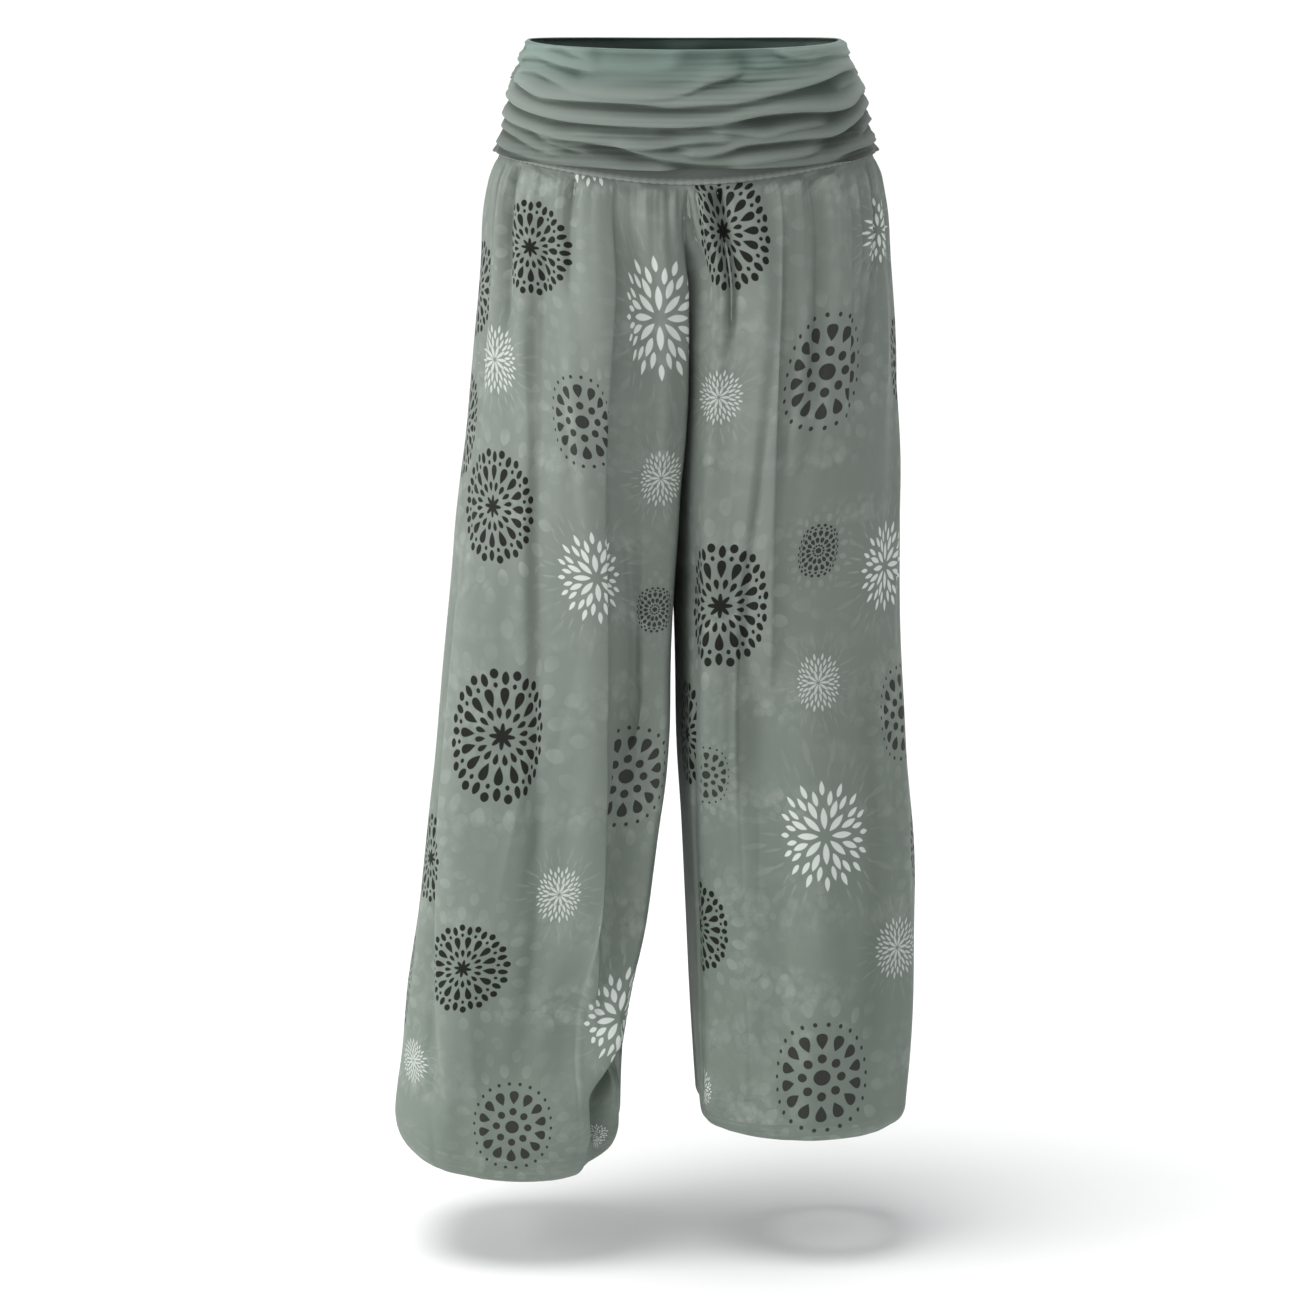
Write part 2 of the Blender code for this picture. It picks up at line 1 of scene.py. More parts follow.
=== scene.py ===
"""Balloon-hem harem trousers, dressed: gathered print legs, a ruched jersey band and elastic hem casings.

Metres, +Z up. The front faces -Y and +X is the wearer's left. The origin is the middle of the waist
opening. Round a leg, turn 0 is the front crotch seam or inseam, 0.5 the outer side seam and 1 the back
crotch seam or inseam. Down a leg, 0 is the yoke seam, 1 the crotch, 2 and 3 the hem's bend and 4 the casing.
"""

import logging
import math
from dataclasses import dataclass
from enum import Enum

import bpy
import numpy as np
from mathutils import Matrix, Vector


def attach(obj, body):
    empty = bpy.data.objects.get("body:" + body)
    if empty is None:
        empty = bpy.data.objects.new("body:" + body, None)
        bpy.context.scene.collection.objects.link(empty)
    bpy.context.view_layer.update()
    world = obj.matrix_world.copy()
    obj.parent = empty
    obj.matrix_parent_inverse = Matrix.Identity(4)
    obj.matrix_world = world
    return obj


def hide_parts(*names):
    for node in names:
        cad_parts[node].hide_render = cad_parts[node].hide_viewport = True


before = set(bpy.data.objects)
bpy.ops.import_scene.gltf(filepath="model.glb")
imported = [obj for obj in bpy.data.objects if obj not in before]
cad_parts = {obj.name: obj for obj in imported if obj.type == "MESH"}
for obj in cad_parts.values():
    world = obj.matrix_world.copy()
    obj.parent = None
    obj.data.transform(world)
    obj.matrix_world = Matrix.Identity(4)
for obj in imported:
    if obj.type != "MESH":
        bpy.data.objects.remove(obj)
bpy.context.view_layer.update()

log = logging.getLogger("trousers")

Array = np.ndarray
Pair = tuple[Array, Array]
Triple = tuple[float, float, float]
Socket = bpy.types.NodeSocket
Material = bpy.types.Material
Piece = bpy.types.Object

# Cut and cloth
WALL = 0.0013  # between the two faces of the leg cloth
BAND_WALL = 0.0018
YOKE_WALL = 0.0011
CASING_WALL = 0.0018
SEAM_GAP = 0.0003
SQUARENESS = 0.055
BAND_TOP = (0.008, 0.013, 0.010)  # heights at the front, the sides and the back
BAND_FOOT = (-0.093, -0.086, -0.092)
YOKE_FOOT = (-0.108, -0.089, -0.100)
YOKE_TUCK = 0.012  # how far the yoke reaches up behind the band
BAND_POWER = 1.6
YOKE_POWER = 3.4
BAND_DEPTH = 0.098
ROLL = 1.25

# Flat size of each sheet, width and length
FRONT_LEG_FLAT = (0.47, 1.05)
BACK_LEG_FLAT = (0.42, 1.05)

# Crotch and the strip beside the fold between the legs
CROTCH = -0.462
FORK_ROUND = 1.5
FORK_POWER = 0.60
FORK_NEAR = 0.16
FORK_FILL = 0.62
PARTED = -0.58
SEAM_LINE = (
    (0.0, 0.0), (-0.185, -0.001), (-0.335, -0.006), (-0.462, -0.012), (-0.560, -0.0135), (-0.600, -0.0145),
)
SEAM_OPENS = -0.500
OVERLAP = 0.012
CORNER_WALL = 0.020
CORNER_ROUND = 0.007
STRIP_TOP = -0.108
STRIP_FOOT = -1.03
TUCK_TOP = -0.56  # below this height the right leg's strip fades out later, to make its tuck
PLEAT = (  # depth below the origin, how far the fold's floor is set back, how far its wall bows forward
    (0.110, 0.0, 0.0), (0.130, 0.010, 0.0), (0.160, 0.020, 0.0), (0.200, 0.028, 0.02), (0.300, 0.034, 0.08),
    (0.400, 0.010, 0.14), (0.500, 0.0, 0.18), (0.580, 0.0, 0.22), (1.000, 0.0, 0.26),
)

# Gathers and creases
GATHERS = 16
GATHER_HEIGHT = 0.0072
GATHER_RISE = 0.020
GATHER_REACH = 0.095
MIDDLE_HEIGHT = 0.0034  # of the narrower gathers between them
TUCK_HEIGHT = 0.0011  # of the fine tucks close to the stitches
SEWN_REACH = 0.007  # below the yoke seam, where the cloth is free to stand out
HEM_GATHER_HEIGHT = 0.0035
HEM_TUCK_HEIGHT = 0.0012
CASING_WAVE = 0.0007
CASING_PLEAT = 0.0005
CASING_PLEATS = 3  # for each gather
HEM_BEND = 0.34
CASING_HEIGHT = 0.020
CREASE_SEED = 41
CREASE_COUNT = 95
SEAM_PINCH = 0.0012
SWELLS = (  # count round the leg, start, height, how fast it wanders going down, shift of the wandering
    (5, 1.3, 0.0013, 2.1, 0.6), (7, 0.4, 0.0011, 3.3, 2.0), (11, 2.2, 0.0008, 4.7, 0.3),
    (17, 5.1, 0.0005, 6.1, 1.1), (23, 3.7, 0.00032, 8.3, 4.2),
)

# Wear and painted shade: 0 in the deepest hollow, darkest with painted shade, and 1 on the highest crest,
# palest with wear and painted highlight
LEG_WEAR_AND_SHADE = 0.016  # relief from hollow to crest
BAND_WEAR_AND_SHADE = 0.0085
YOKE_WEAR_AND_SHADE = 0.0012
BAND_SEAM_WEAR_AND_SHADE = 0.42  # beside the band's side seams, held level there, where little wear or painted shade shows
BACK_DARKEST = 0.27  # the painted shade in the back's hollows gets no darker than this
# relief given to the turned-over top edge only for its wear and painted highlight
TURNED_LIFT = 0.004
YOKE_SHADE = 0.6  # place of the yoke on the jersey's way from its top edge down

# Print
PRINTED = 1.03  # radii within which a rosette's own finish lies
FOLDED_UNDER = 9.0  # added to the distance of a rosette that is folded under here
SEAM_LENGTH = 0.37  # cloth a unit of down, above the yoke seam
PETAL_EDGE = 0.014
FAR = 9.0  # from every rosette
PROBE = 0.0004  # along a line of stitches, to find its way


class Rosette(Enum):
    """The printed rosettes, each with the number of its own dyed finish."""

    NIGHT = 1
    DOTTED = 2
    DENSE_DARK = 3
    PALE = 4
    DENSE_PALE = 5


class Half(Enum):
    """Front or back of the trousers."""

    FRONT = "front"
    BACK = "back"

    def turn(self, across: Array) -> Array:
        """Turn at each place across this half, from -1 at the right side seam to 1 at the left."""
        turn = 0.5 * np.abs(across)
        return 1 - turn if self is Half.BACK else turn


@dataclass(frozen=True)
class Section:
    """A leg's plain section at one height."""

    z: float
    inner: float
    outer: float
    front: float
    back: float


@dataclass(frozen=True)
class Corner:
    """Where the cloth turns back into the fold between the legs, at one height."""

    z: float
    x: float
    y: float


@dataclass(frozen=True)
class Fold:
    """A soft ridge (or, with a height below zero, a trough) that runs down the cloth."""

    path: tuple[tuple[float, float], ...]  # height above the origin and turn, from its top to its foot
    height: float
    inward: float
    outward: float
    lean: float = 0.0  # how far the crest rolls over towards the outer seam, in heights
    crisp: float = 2.0  # 2 is round, nearer 1 is sharp
    ease: float = 0.22  # share of its length over which it rises and dies away


@dataclass(frozen=True)
class Hem:
    """Where a leg ends and how its elastic casing lies."""

    foot: float
    dip: float
    dip_turn: float
    corner: float
    ankle_x: float
    ankle_y: float
    ankle_radius: float
    casing_foot: float


@dataclass(frozen=True)
class Motif:
    """One printed rosette: its centre on the leg, its radius, and how much it is drawn in on either side."""

    kind: Rosette
    turn: float
    down: float
    radius: float
    left: float = 0.80
    right: float = 0.80
    first: float = 0.0  # the cloth is folded under before this turn
    last: float = 1.0


@dataclass(frozen=True)
class Ruche:
    """One ridge of the ruched band, from its first place to its last: share across and share down."""

    path: tuple[tuple[float, float], ...]
    lift: float
    above: float = 0.0080
    below: float = 0.0030
    ease: float = 0.05


@dataclass(frozen=True)
class Ring:
    """A ring of petals in a rosette, in radii of the rosette."""

    count: int
    start: float
    end: float
    width: float
    inner: float = 0.5  # 0.5 rounds the inner end and 1 points it
    outer: float = 0.5
    offset: float = 0.0


def rows_of(kind: type, *rows: tuple) -> tuple:
    """A table's rows, each made into its own kind."""
    return tuple(kind(*row) for row in rows)


def smooth(value: Array) -> Array:
    """Ease from 0 to 1 with no slope at either end."""
    value = np.clip(value, 0.0, 1.0)
    return value * value * (3.0 - 2.0 * value)


def unit(vectors: Array) -> Array:
    """The same directions at length 1."""
    return vectors / np.maximum(np.linalg.norm(vectors, axis=-1, keepdims=True), 1e-12)


def bell(away: Array, width: Array | float, crisp: float = 2.0) -> Array:
    """A ridge of height 1 at 0 that dies away over the width."""
    return np.exp(-(np.abs(away / width) ** crisp))


def wave(halves: float, along: Array, start: Array | float = 0.0) -> Array:
    """A wave between -1 and 1 with so many half waves from 0 to 1."""
    return np.sin(halves * math.pi * along + start)


def curve(knots: Array, values: Array, at: Array) -> Array:
    """A smooth curve through the rows of a table.

    Args:
        knots: where the rows are, rising.
        values: what the rows say.
        at: where the curve is wanted.

    Returns:
        The curve's values, level beyond the first and the last row.
    """
    if len(knots) > 2:
        slopes = np.gradient(values, knots)
    else:
        slopes = np.full(2, (values[1] - values[0]) / (knots[1] - knots[0]))
    at = np.clip(at, knots[0], knots[-1])
    k = np.clip(np.searchsorted(knots, at) - 1, 0, len(knots) - 2)
    step = knots[k + 1] - knots[k]
    t = (at - knots[k]) / step
    before = (1 + 2 * t) * (1 - t) ** 2 * values[k] + t * (1 - t) ** 2 * step * slopes[k]
    return before + t * t * (3 - 2 * t) * values[k + 1] + t * t * (t - 1) * step * slopes[k + 1]


def column(rows: tuple, name: str, z: Array) -> Array:
    """One column of a table of heights, on a smooth curve through its rows."""
    return curve(np.array([-row.z for row in rows]), np.array([getattr(row, name) for row in rows]), -z)


def lengths(points: Array, axis: int) -> Array:
    """Length of the cloth from its first row or column to each point."""
    steps = np.linalg.norm(np.diff(points, axis=axis), axis=-1)
    start = np.zeros_like(np.take(steps, [0], axis=axis))
    return np.concatenate([start, np.cumsum(steps, axis=axis)], axis=axis)


def round_seam(heights: Triple, power: float, turn: Array) -> Array:
    """Height of a seam that goes round the body, from its heights at front, side and back."""
    front, side, back = heights
    ahead = np.cos(math.pi * turn)
    return side + np.abs(ahead) ** power * np.where(ahead > 0, front - side, back - side)


def drawn_in(away: Array, reach: Array) -> Array:
    """Place in a rosette whose edge is drawn in by a fold.

    Args:
        away: distance from its centre line, in radii.
        reach: how far it reaches, in radii: below 1 its edge is bunched up, above 1 it is spread.

    Returns:
        The place in the flat print.
    """
    u = away / reach
    near = reach * u + (1 - reach) * np.minimum(u, 1.0) ** 4.5
    return np.where(u < 1, near, 1 + (u - 1) * np.maximum(reach, 0.6))


def gather_phase(turn: Array) -> Array:
    """Count of the gathers up to a place round the leg."""
    return GATHERS * turn + 0.5 + 0.22 * wave(6, turn) + 0.10 * wave(12, turn)


def gather_ridge(phase: Array) -> Array:
    """Gathers in a row, with round tops and sharp valleys."""
    return np.sqrt(np.cos(math.pi * phase) ** 2 + 0.02) - 0.5


@dataclass(frozen=True)
class LegForm:
    """The form that one leg's cloth takes when worn."""

    name: str
    way: int  # -1 on the right and 1 on the left
    sections: tuple[Section, ...]
    corners: tuple[Corner, ...]
    corner_turn: float
    folds: tuple[Fold, ...]
    hem: Hem

    def bare(self, turn: Array, z: Array) -> Pair:
        """The x and the y of each place on the plain rounded section."""
        names = ("inner", "outer", "front", "back")
        inner, outer, front, back = (column(self.sections, name, z) for name in names)
        deep = np.clip((YOKE_FOOT[1] - z) / (YOKE_FOOT[1] - CROTCH), 0.0, 1.0)
        seam_fork = 1 - (1 - deep**FORK_ROUND) ** FORK_POWER
        round_fork = smooth((YOKE_FOOT[1] - z) / (YOKE_FOOT[1] - PARTED))
        near = bell(wave(1, turn), FORK_NEAR)
        fork = round_fork + near * (seam_fork - round_fork)
        body, leg = math.pi * turn, 2 * math.pi * turn
        body_fill = 1 + SQUARENESS * np.sin(2 * body) ** 2
        leg_fill = 1 + SQUARENESS * np.sin(2 * leg) ** 2
        width, depth = outer - inner, (back - front) / 2
        fill = 1 + FORK_FILL * round_fork * (1 - round_fork)
        x = (1 - fork) * width * np.sin(body) * body_fill + fork * width * (1 - np.cos(leg) * leg_fill) / 2
        y = (1 - fork) * -depth * np.cos(body) * body_fill - fork * depth * np.sin(leg) * leg_fill
        x = inner + x + near * self.joined(z) * (self.seam(z) - inner)
        return x, (front + back) / 2 + fill * y

    def seam(self, z: Array) -> Array:
        """Where the seam between the two legs is at a height."""
        return np.interp(-z, -np.array(SEAM_LINE)[:, 0], np.array(SEAM_LINE)[:, 1])

    def joined(self, z: Array) -> Array:
        """Whether that seam holds the legs together at a height, from 0 to 1."""
        return smooth((z - SEAM_OPENS + 0.015) / 0.03)

    def plain(self, turn: Array, z: Array) -> Pair:
        """The x and the y of each place on the section with its inner front corner, without folds."""
        x, y = self.bare(turn, z)
        start_x, start_y = self.bare(0 * turn, z)
        depth, set_back, bow = np.array(PLEAT).T
        start_y = start_y + np.interp(-z, depth, set_back)
        end_x, end_y = self.bare(0 * turn + self.corner_turn, z)
        corner_x, corner_y = (column(self.corners, name, z) for name in "xy")
        low = smooth((TUCK_TOP - z) / 0.10) * (self.way < 0)
        turned = np.clip(turn, 0.0, self.corner_turn * (1 + 0.25 * low))
        past = (turned - CORNER_WALL + np.hypot(turned - CORNER_WALL, CORNER_ROUND)) / 2
        past = past - (math.hypot(CORNER_WALL, CORNER_ROUND) - CORNER_WALL) / 2
        box = []
        for start, corner, end in ((start_x, corner_x, end_x), (start_y, corner_y, end_y)):
            wall, front = (corner - start) / CORNER_WALL, (end - corner) / (self.corner_turn - CORNER_WALL)
            box.append(start + wall * turned + (front - wall) * past)
        up = np.clip(turned / CORNER_WALL, 0.0, 1.0)
        box[1] = box[1] + np.interp(-z, depth, bow) * 16 * (up * (1 - up)) ** 2 * (corner_y - start_y)
        share = smooth((STRIP_TOP - z) / 0.10) * smooth((z - STRIP_FOOT) / 0.09)
        share = share * (1 - smooth((turned / self.corner_turn - 0.55 - 0.30 * low) / (0.45 - 0.05 * low)))
        share = share * (turn < 0.5)
        return x + share * (box[0] - x), y + share * (box[1] - y)

    def outward(self, turn: Array, z: Array) -> Pair:
        """Level direction straight out from the plain section."""
        before_x, before_y = self.plain(np.clip(turn - 0.002, 0, 1), z)
        after_x, after_y = self.plain(np.clip(turn + 0.002, 0, 1), z)
        along_x, along_y = after_x - before_x, after_y - before_y
        length = np.hypot(along_x, along_y)
        return self.way * along_y / length, -self.way * along_x / length

    def relief(self, turn: Array, z: Array) -> Pair:
        """How far the folds and gathers stand out, and how far the crests roll along the cloth."""
        total, slide = self.ridges(turn, z)
        drop = round_seam(YOKE_FOOT, YOKE_POWER, turn) - z
        strip = (turn < 0.5) * smooth((STRIP_TOP - z) / 0.10)
        plumb = turn - 0.022 * strip * np.clip(1 - turn / self.corner_turn, 0, 1)
        total = total + self.gathers(plumb, drop) + self.drape(turn, z, drop) + self.creases(turn, z, drop)
        return total, slide

    def ridges(self, turn: Array, z: Array) -> Pair:
        """Lay the folds.

        Args:
            turn: places round the leg.
            z: heights.

        Returns:
            The distance out, and how far the crests roll along the cloth.
        """
        total, slide = np.zeros(turn.shape), np.zeros(turn.shape)
        for fold in self.folds:
            depths, turns = -np.array(fold.path)[:, 0], np.array(fold.path)[:, 1]
            t = np.clip((-z - depths[0]) / (depths[-1] - depths[0]), 0.0, 1.0)
            away = (turn - curve(depths, turns, -z) + 0.5) % 1.0 - 0.5
            width = np.where(away < 0, fold.inward, fold.outward)
            length = smooth(t / fold.ease) * smooth((1 - t) / fold.ease)
            shape = fold.height * length * bell(away, width, fold.crisp)
            total = total + shape
            slide = slide + fold.lean * shape
        return total, slide

    def calm(self, turn: Array) -> Array:
        """How free the cloth is to crease: it is drawn flatter in the strip beside the centre fold."""
        return 1 - 0.65 * (turn < 0.5) * smooth((self.corner_turn + 0.015 - turn) / 0.03)

    def gathers(self, turn: Array, drop: Array) -> Array:
        """The gathers under the yoke seam, uneven in width and reach, with fine tucks close to the stitches.

        Args:
            turn: places round the leg.
            drop: how far the places are below the yoke seam.

        Returns:
            The distance out.
        """
        below = np.maximum(drop, 0)
        phase = gather_phase(turn)
        reach = GATHER_REACH * (1 + 0.45 * wave(10, turn, 2 * self.way))
        total = GATHER_HEIGHT * smooth(drop / GATHER_RISE) * bell(below, reach, 1.5) * gather_ridge(phase)
        middle = 2.15 * phase + 0.45 * wave(6.5, turn, self.way) + 0.2 * wave(23, turn)
        far = 0.055 * (1 + 0.6 * wave(17, turn, 1.3 * self.way))
        strong = 0.7 + 0.5 * wave(11, turn, 0.6)
        middle = strong * smooth(drop / 0.010) * bell(below, far, 1.4) * gather_ridge(middle)
        total = total + MIDDLE_HEIGHT * middle
        small = phase * 5.3 + 0.5 * wave(10, turn, self.way) + 0.4 * wave(31, turn)
        tuck = smooth(drop / 0.004) * bell(below, 0.020 + 0.010 * np.sin(40 * turn), 1.3)
        return total + TUCK_HEIGHT * tuck * gather_ridge(small)

    def creases(self, turn: Array, z: Array, drop: Array) -> Array:
        """Small soft creases and dimples left by sitting and folding, scattered over the cloth.

        Args:
            turn: places round the leg.
            z: heights.
            drop: how far the places are below the yoke seam.

        Returns:
            The distance out.
        """
        rng = np.random.default_rng(CREASE_SEED + self.way)
        total = np.zeros(turn.shape)
        for _ in range(CREASE_COUNT):
            middle, centre = rng.uniform(-1.0, -0.14), rng.uniform(0.03, 0.97)
            half, slant = rng.uniform(0.03, 0.11), rng.uniform(-0.25, 0.25)
            wide, height = rng.uniform(0.005, 0.013), rng.uniform(0.0006, 0.0020) * rng.choice((-1.0, 1.0))
            away = turn - centre - slant * (z - middle)
            total = total + height * bell(away, wide, 1.7) * bell(z - middle, half)
        return total * self.calm(turn) * smooth(drop / 0.05) * smooth(np.abs(wave(2, turn)) / 0.12)

    def drape(self, turn: Array, z: Array, drop: Array) -> Array:
        """The slight unevenness of hanging cloth, in long soft waves that wander as they go down."""
        total = np.zeros(turn.shape)
        for count, start, height, wander, shift in SWELLS:
            drift = 0.9 * np.sin(wander * z * 2.4 + shift + self.way)
            swell = 0.65 + 0.35 * np.sin(wander * 1.7 * z + 3 * math.pi * turn + shift)
            total = total + height * swell * wave(2 * count, turn, start + drift)
        seams = np.abs(wave(2, turn))
        pinch = SEAM_PINCH * bell(seams, 0.05) * smooth(drop / 0.03)
        return total * self.calm(turn) * smooth(drop / 0.05) * smooth(seams / 0.12) - pinch

    def meet(self, x: Array, turn: Array, z: Array, over: Array) -> Array:
        """Bring the cloth to the seam that joins the two legs.

        Args:
            x: distances across.
            turn: places round the leg.
            z: heights.
            over: whether the cloth may roll over the seam.

        Returns:
            The distances across, with no gap at the seam above the height where the legs part.
        """
        seam = self.seam(z)
        spare = OVERLAP * over * smooth(wave(1, turn) / 0.02)
        held = seam + self.way * np.maximum(self.way * (x - seam), -spare)
        held = np.where((turn == 0) | (turn == 1), seam, held)
        return x + self.joined(z) * (held - x)

    def round_ankle(self, turn: Array, out: Array | float) -> Pair:
        """The x and the y of places round the elastic, which is drawn up in small waves."""
        radius = self.hem.ankle_radius + CASING_WAVE * np.cos(2 * math.pi * gather_phase(turn)) + out
        x = self.hem.ankle_x - self.way * radius * np.cos(2 * math.pi * turn)
        return x, self.hem.ankle_y - radius * wave(2, turn)

    def surface(self, turn: Array, down: Array) -> Pair:
        """Outer face of the leg's cloth.

        Args:
            turn: places round the leg.
            down: places down the leg.

        Returns:
            The points, and how far the cloth stands out of the plain form at each.
        """
        hem = self.hem
        top = round_seam(YOKE_FOOT, YOKE_POWER, turn) - SEAM_GAP
        foot = hem.foot - hem.dip * np.cos(2 * math.pi * (turn - hem.dip_turn))
        low = CROTCH + (foot + hem.corner - CROTCH) * (down - 1)
        z = np.maximum(np.where(down < 1, top + (CROTCH - top) * down, low), foot + hem.corner)
        x, y = self.plain(turn, z)
        out_x, out_y = self.outward(turn, z)
        sewn = smooth((top - z) / SEWN_REACH)
        height, slide = (value * sewn for value in self.relief(turn, z))
        apart = smooth((np.abs(z - CROTCH) - 0.10) / 0.10)
        near = bell(wave(1, turn), 0.10)
        height = np.where(height > 0, height * (1 - near * (1 - apart)), height)
        over = (self.way < 0) * (turn < 0.5)  # the right front rolls over the centre seam
        slide = slide * (1 - near * (1 - over)) * self.way
        x, y = x + height * out_x - slide * out_y, y + height * out_y + slide * out_x
        x = self.meet(x, turn, z, over)
        bend = 0.5 * math.pi * np.clip(down - 2, 0, 1)
        under = np.clip(down - 3, 0, 1)
        share = HEM_BEND * (1 - np.cos(bend)) + (1 - HEM_BEND) * under
        ring_x, ring_y = self.round_ankle(turn, CASING_WALL + SEAM_GAP)
        x, y = x + share * (ring_x - x), y + share * (ring_y - y)
        end = hem.casing_foot + CASING_HEIGHT - WALL - 0.002
        z = z - hem.corner * np.sin(bend) + (end - foot) * smooth(under)
        z = z + HEM_GATHER_HEIGHT * gather_ridge(gather_phase(turn)) * (under * (1 - under) * 2.4)
        fine = gather_ridge(gather_phase(turn) * 2.5 + 0.3 * wave(9, turn))
        z = z + HEM_TUCK_HEIGHT * fine * smooth(under / 0.5) * (1 - 0.6 * under)
        return np.stack([x, y, z], axis=-1), height


class Value:
    """A number, a place or a colour that a finish works out for every point of the cloth."""

    def __init__(self, socket: Socket) -> None:
        """Keep the socket that gives it."""
        self.socket = socket

    def work(self, operation: str, other: object = 0.0, swap: bool = False) -> "Value":
        """Work out another number from this one.

        Args:
            operation: what to do.
            other: the second number, where it takes two.
            swap: whether the second number goes first.

        Returns:
            The result.
        """
        made = self.socket.id_data.nodes.new("ShaderNodeMath")
        made.operation = operation
        for socket, value in zip(made.inputs, (other, self) if swap else (self, other)):
            feed(socket, value)
        return Value(made.outputs[0])

    def held(self) -> "Value":
        """The same number, kept between 0 and 1."""
        self.socket.node.use_clamp = True
        return self

    def __add__(self, other: object) -> "Value":
        """Their sum."""
        return self.work("ADD", other)

    def __sub__(self, other: object) -> "Value":
        """Their difference."""
        return self.work("SUBTRACT", other)

    def __rsub__(self, other: object) -> "Value":
        """Their difference, from a plain number."""
        return self.work("SUBTRACT", other, swap=True)

    def __mul__(self, other: object) -> "Value":
        """Their product."""
        return self.work("MULTIPLY", other)


def feed(socket: Socket, value: object) -> None:
    """Join a socket to a value, or give it a number, a place or a colour."""
    if isinstance(value, Value):
        socket.id_data.links.new(value.socket, socket)
    else:
        socket.default_value = (*value, 1.0) if socket.type == "RGBA" else value


class Graph:
    """The nodes of one finish."""

    def __init__(self, name: str, roughness: float, sheen: float, specular: float = 0.25) -> None:
        """Start a finish.

        Args:
            name: the finish's name.
            roughness: how matt it is before its own detail.
            sheen: how much of a soft bloom it has at grazing angles.
            specular: how much it shines.
        """
        self.material = bpy.data.materials.new(name)
        self.material.use_nodes = True
        self.nodes = self.material.node_tree.nodes
        self.shader = self.nodes["Principled BSDF"].inputs
        feed(self.shader["Roughness"], roughness)
        feed(self.shader["Sheen Weight"], sheen)
        feed(self.shader["Sheen Roughness"], 0.45)
        feed(self.shader["Specular IOR Level"], specular)

    def node(self, kind: str, result: int | str, inputs: dict[int | str, object], **settings: str) -> Value:
        """Add a node.

        Args:
            kind: the node's type.
            result: which of its results is wanted.
            inputs: what goes into it.
            settings: how it is set.

        Returns:
            The result.
        """
        made = self.nodes.new(f"ShaderNode{kind}")
        for name, setting in settings.items():
            setattr(made, name, setting)
        for name, value in inputs.items():
            feed(made.inputs[name], value)
        return Value(made.outputs[result])

    def mix(self, share: object, first: object, second: object, blend: str = "MIX") -> Value:
        """Blend two colours, with a share of the second."""
        return self.node("Mix", 2, {0: share, 6: first, 7: second}, data_type="RGBA", blend_type=blend)

    def tint(self, share: object, colour: object, dye: Triple) -> Value:
        """Multiply a colour by a dye, in part."""
        return self.mix(share, colour, dye, "MULTIPLY")

    def named(self, name: str, result: str = "Vector") -> Value:
        """The values that a mesh keeps under a name."""
        return self.node("Attribute", result, {}, attribute_name=name)

    def parts(self, place: Value) -> list[Value]:
        """The three numbers of a place."""
        made = self.nodes.new("ShaderNodeSeparateXYZ")
        feed(made.inputs[0], place)
        return [Value(socket) for socket in made.outputs]

    def vector(self, operation: str, place: Value, other: Triple = (0.0, 0.0, 0.0)) -> Value:
        """Stretch, move or measure a place."""
        return self.node("VectorMath", int(operation == "LENGTH"), {0: place, 1: other}, operation=operation)

    def noise(self, place: Value, scale: float, detail: float = 3.0, stretch: Triple | None = None) -> Value:
        """Soft random variation from 0 to 1, finer along some ways where the place is stretched."""
        if stretch:
            place = self.vector("MULTIPLY", place, stretch)
        return self.node("TexNoise", "Fac", {"Vector": place, "Scale": scale, "Detail": detail})

    def cells(self, place: Value, scale: float) -> Value:
        """Distance from the middle of the nearest of some scattered cells."""
        return self.node("TexVoronoi", "Distance", {"Vector": place, "Scale": scale}, voronoi_dimensions="2D")

    def finish(self, colour: Value, height: Value, distance: float, strength: float) -> Material:
        """Give the surface its colour and a fine relief.

        Args:
            colour: the colour.
            height: the relief.
            distance: how deep the relief is.
            strength: how much of it shows.

        Returns:
            The finish.
        """
        feed(self.shader["Base Color"], colour)
        bump = {"Height": height, "Distance": distance, "Strength": strength}
        feed(self.shader["Normal"], self.node("Bump", 0, bump))
        return self.material


def petal_group() -> bpy.types.NodeTree:
    """A ring of petals as a group of nodes, made once.

    Returns:
        The group, with the radius, the angle and the ring's sizes as inputs and its print as output.
    """
    known = bpy.data.node_groups.get("petal_ring")
    if known:
        return known
    group = bpy.data.node_groups.new("petal_ring", "ShaderNodeTree")
    for name in "Radius Angle Turns Offset Step Start Stretch Width Inner Outer Soft".split():
        group.interface.new_socket(name, in_out="INPUT", socket_type="NodeSocketFloat")
    group.interface.new_socket("Print", in_out="OUTPUT", socket_type="NodeSocketFloat")
    given = {socket.name: Value(socket) for socket in group.nodes.new("NodeGroupInput").outputs}
    angle = ((given["Angle"] * given["Turns"] + given["Offset"]).work("FRACT") - 0.5) * given["Step"]
    along = given["Radius"] * angle.work("COSINE")
    across = (given["Radius"] * angle.work("SINE")).work("ABSOLUTE")
    t = ((along - given["Start"]) * given["Stretch"]).held()
    width = t.work("POWER", given["Inner"]) * (1.0 - t).work("POWER", given["Outer"]) * given["Width"]
    edge = width - across - given["Soft"] * 0.6
    cover = (edge.work("DIVIDE", given["Soft"]) + 0.5).held()
    feed(group.nodes.new("NodeGroupOutput").inputs["Print"], cover)
    return group


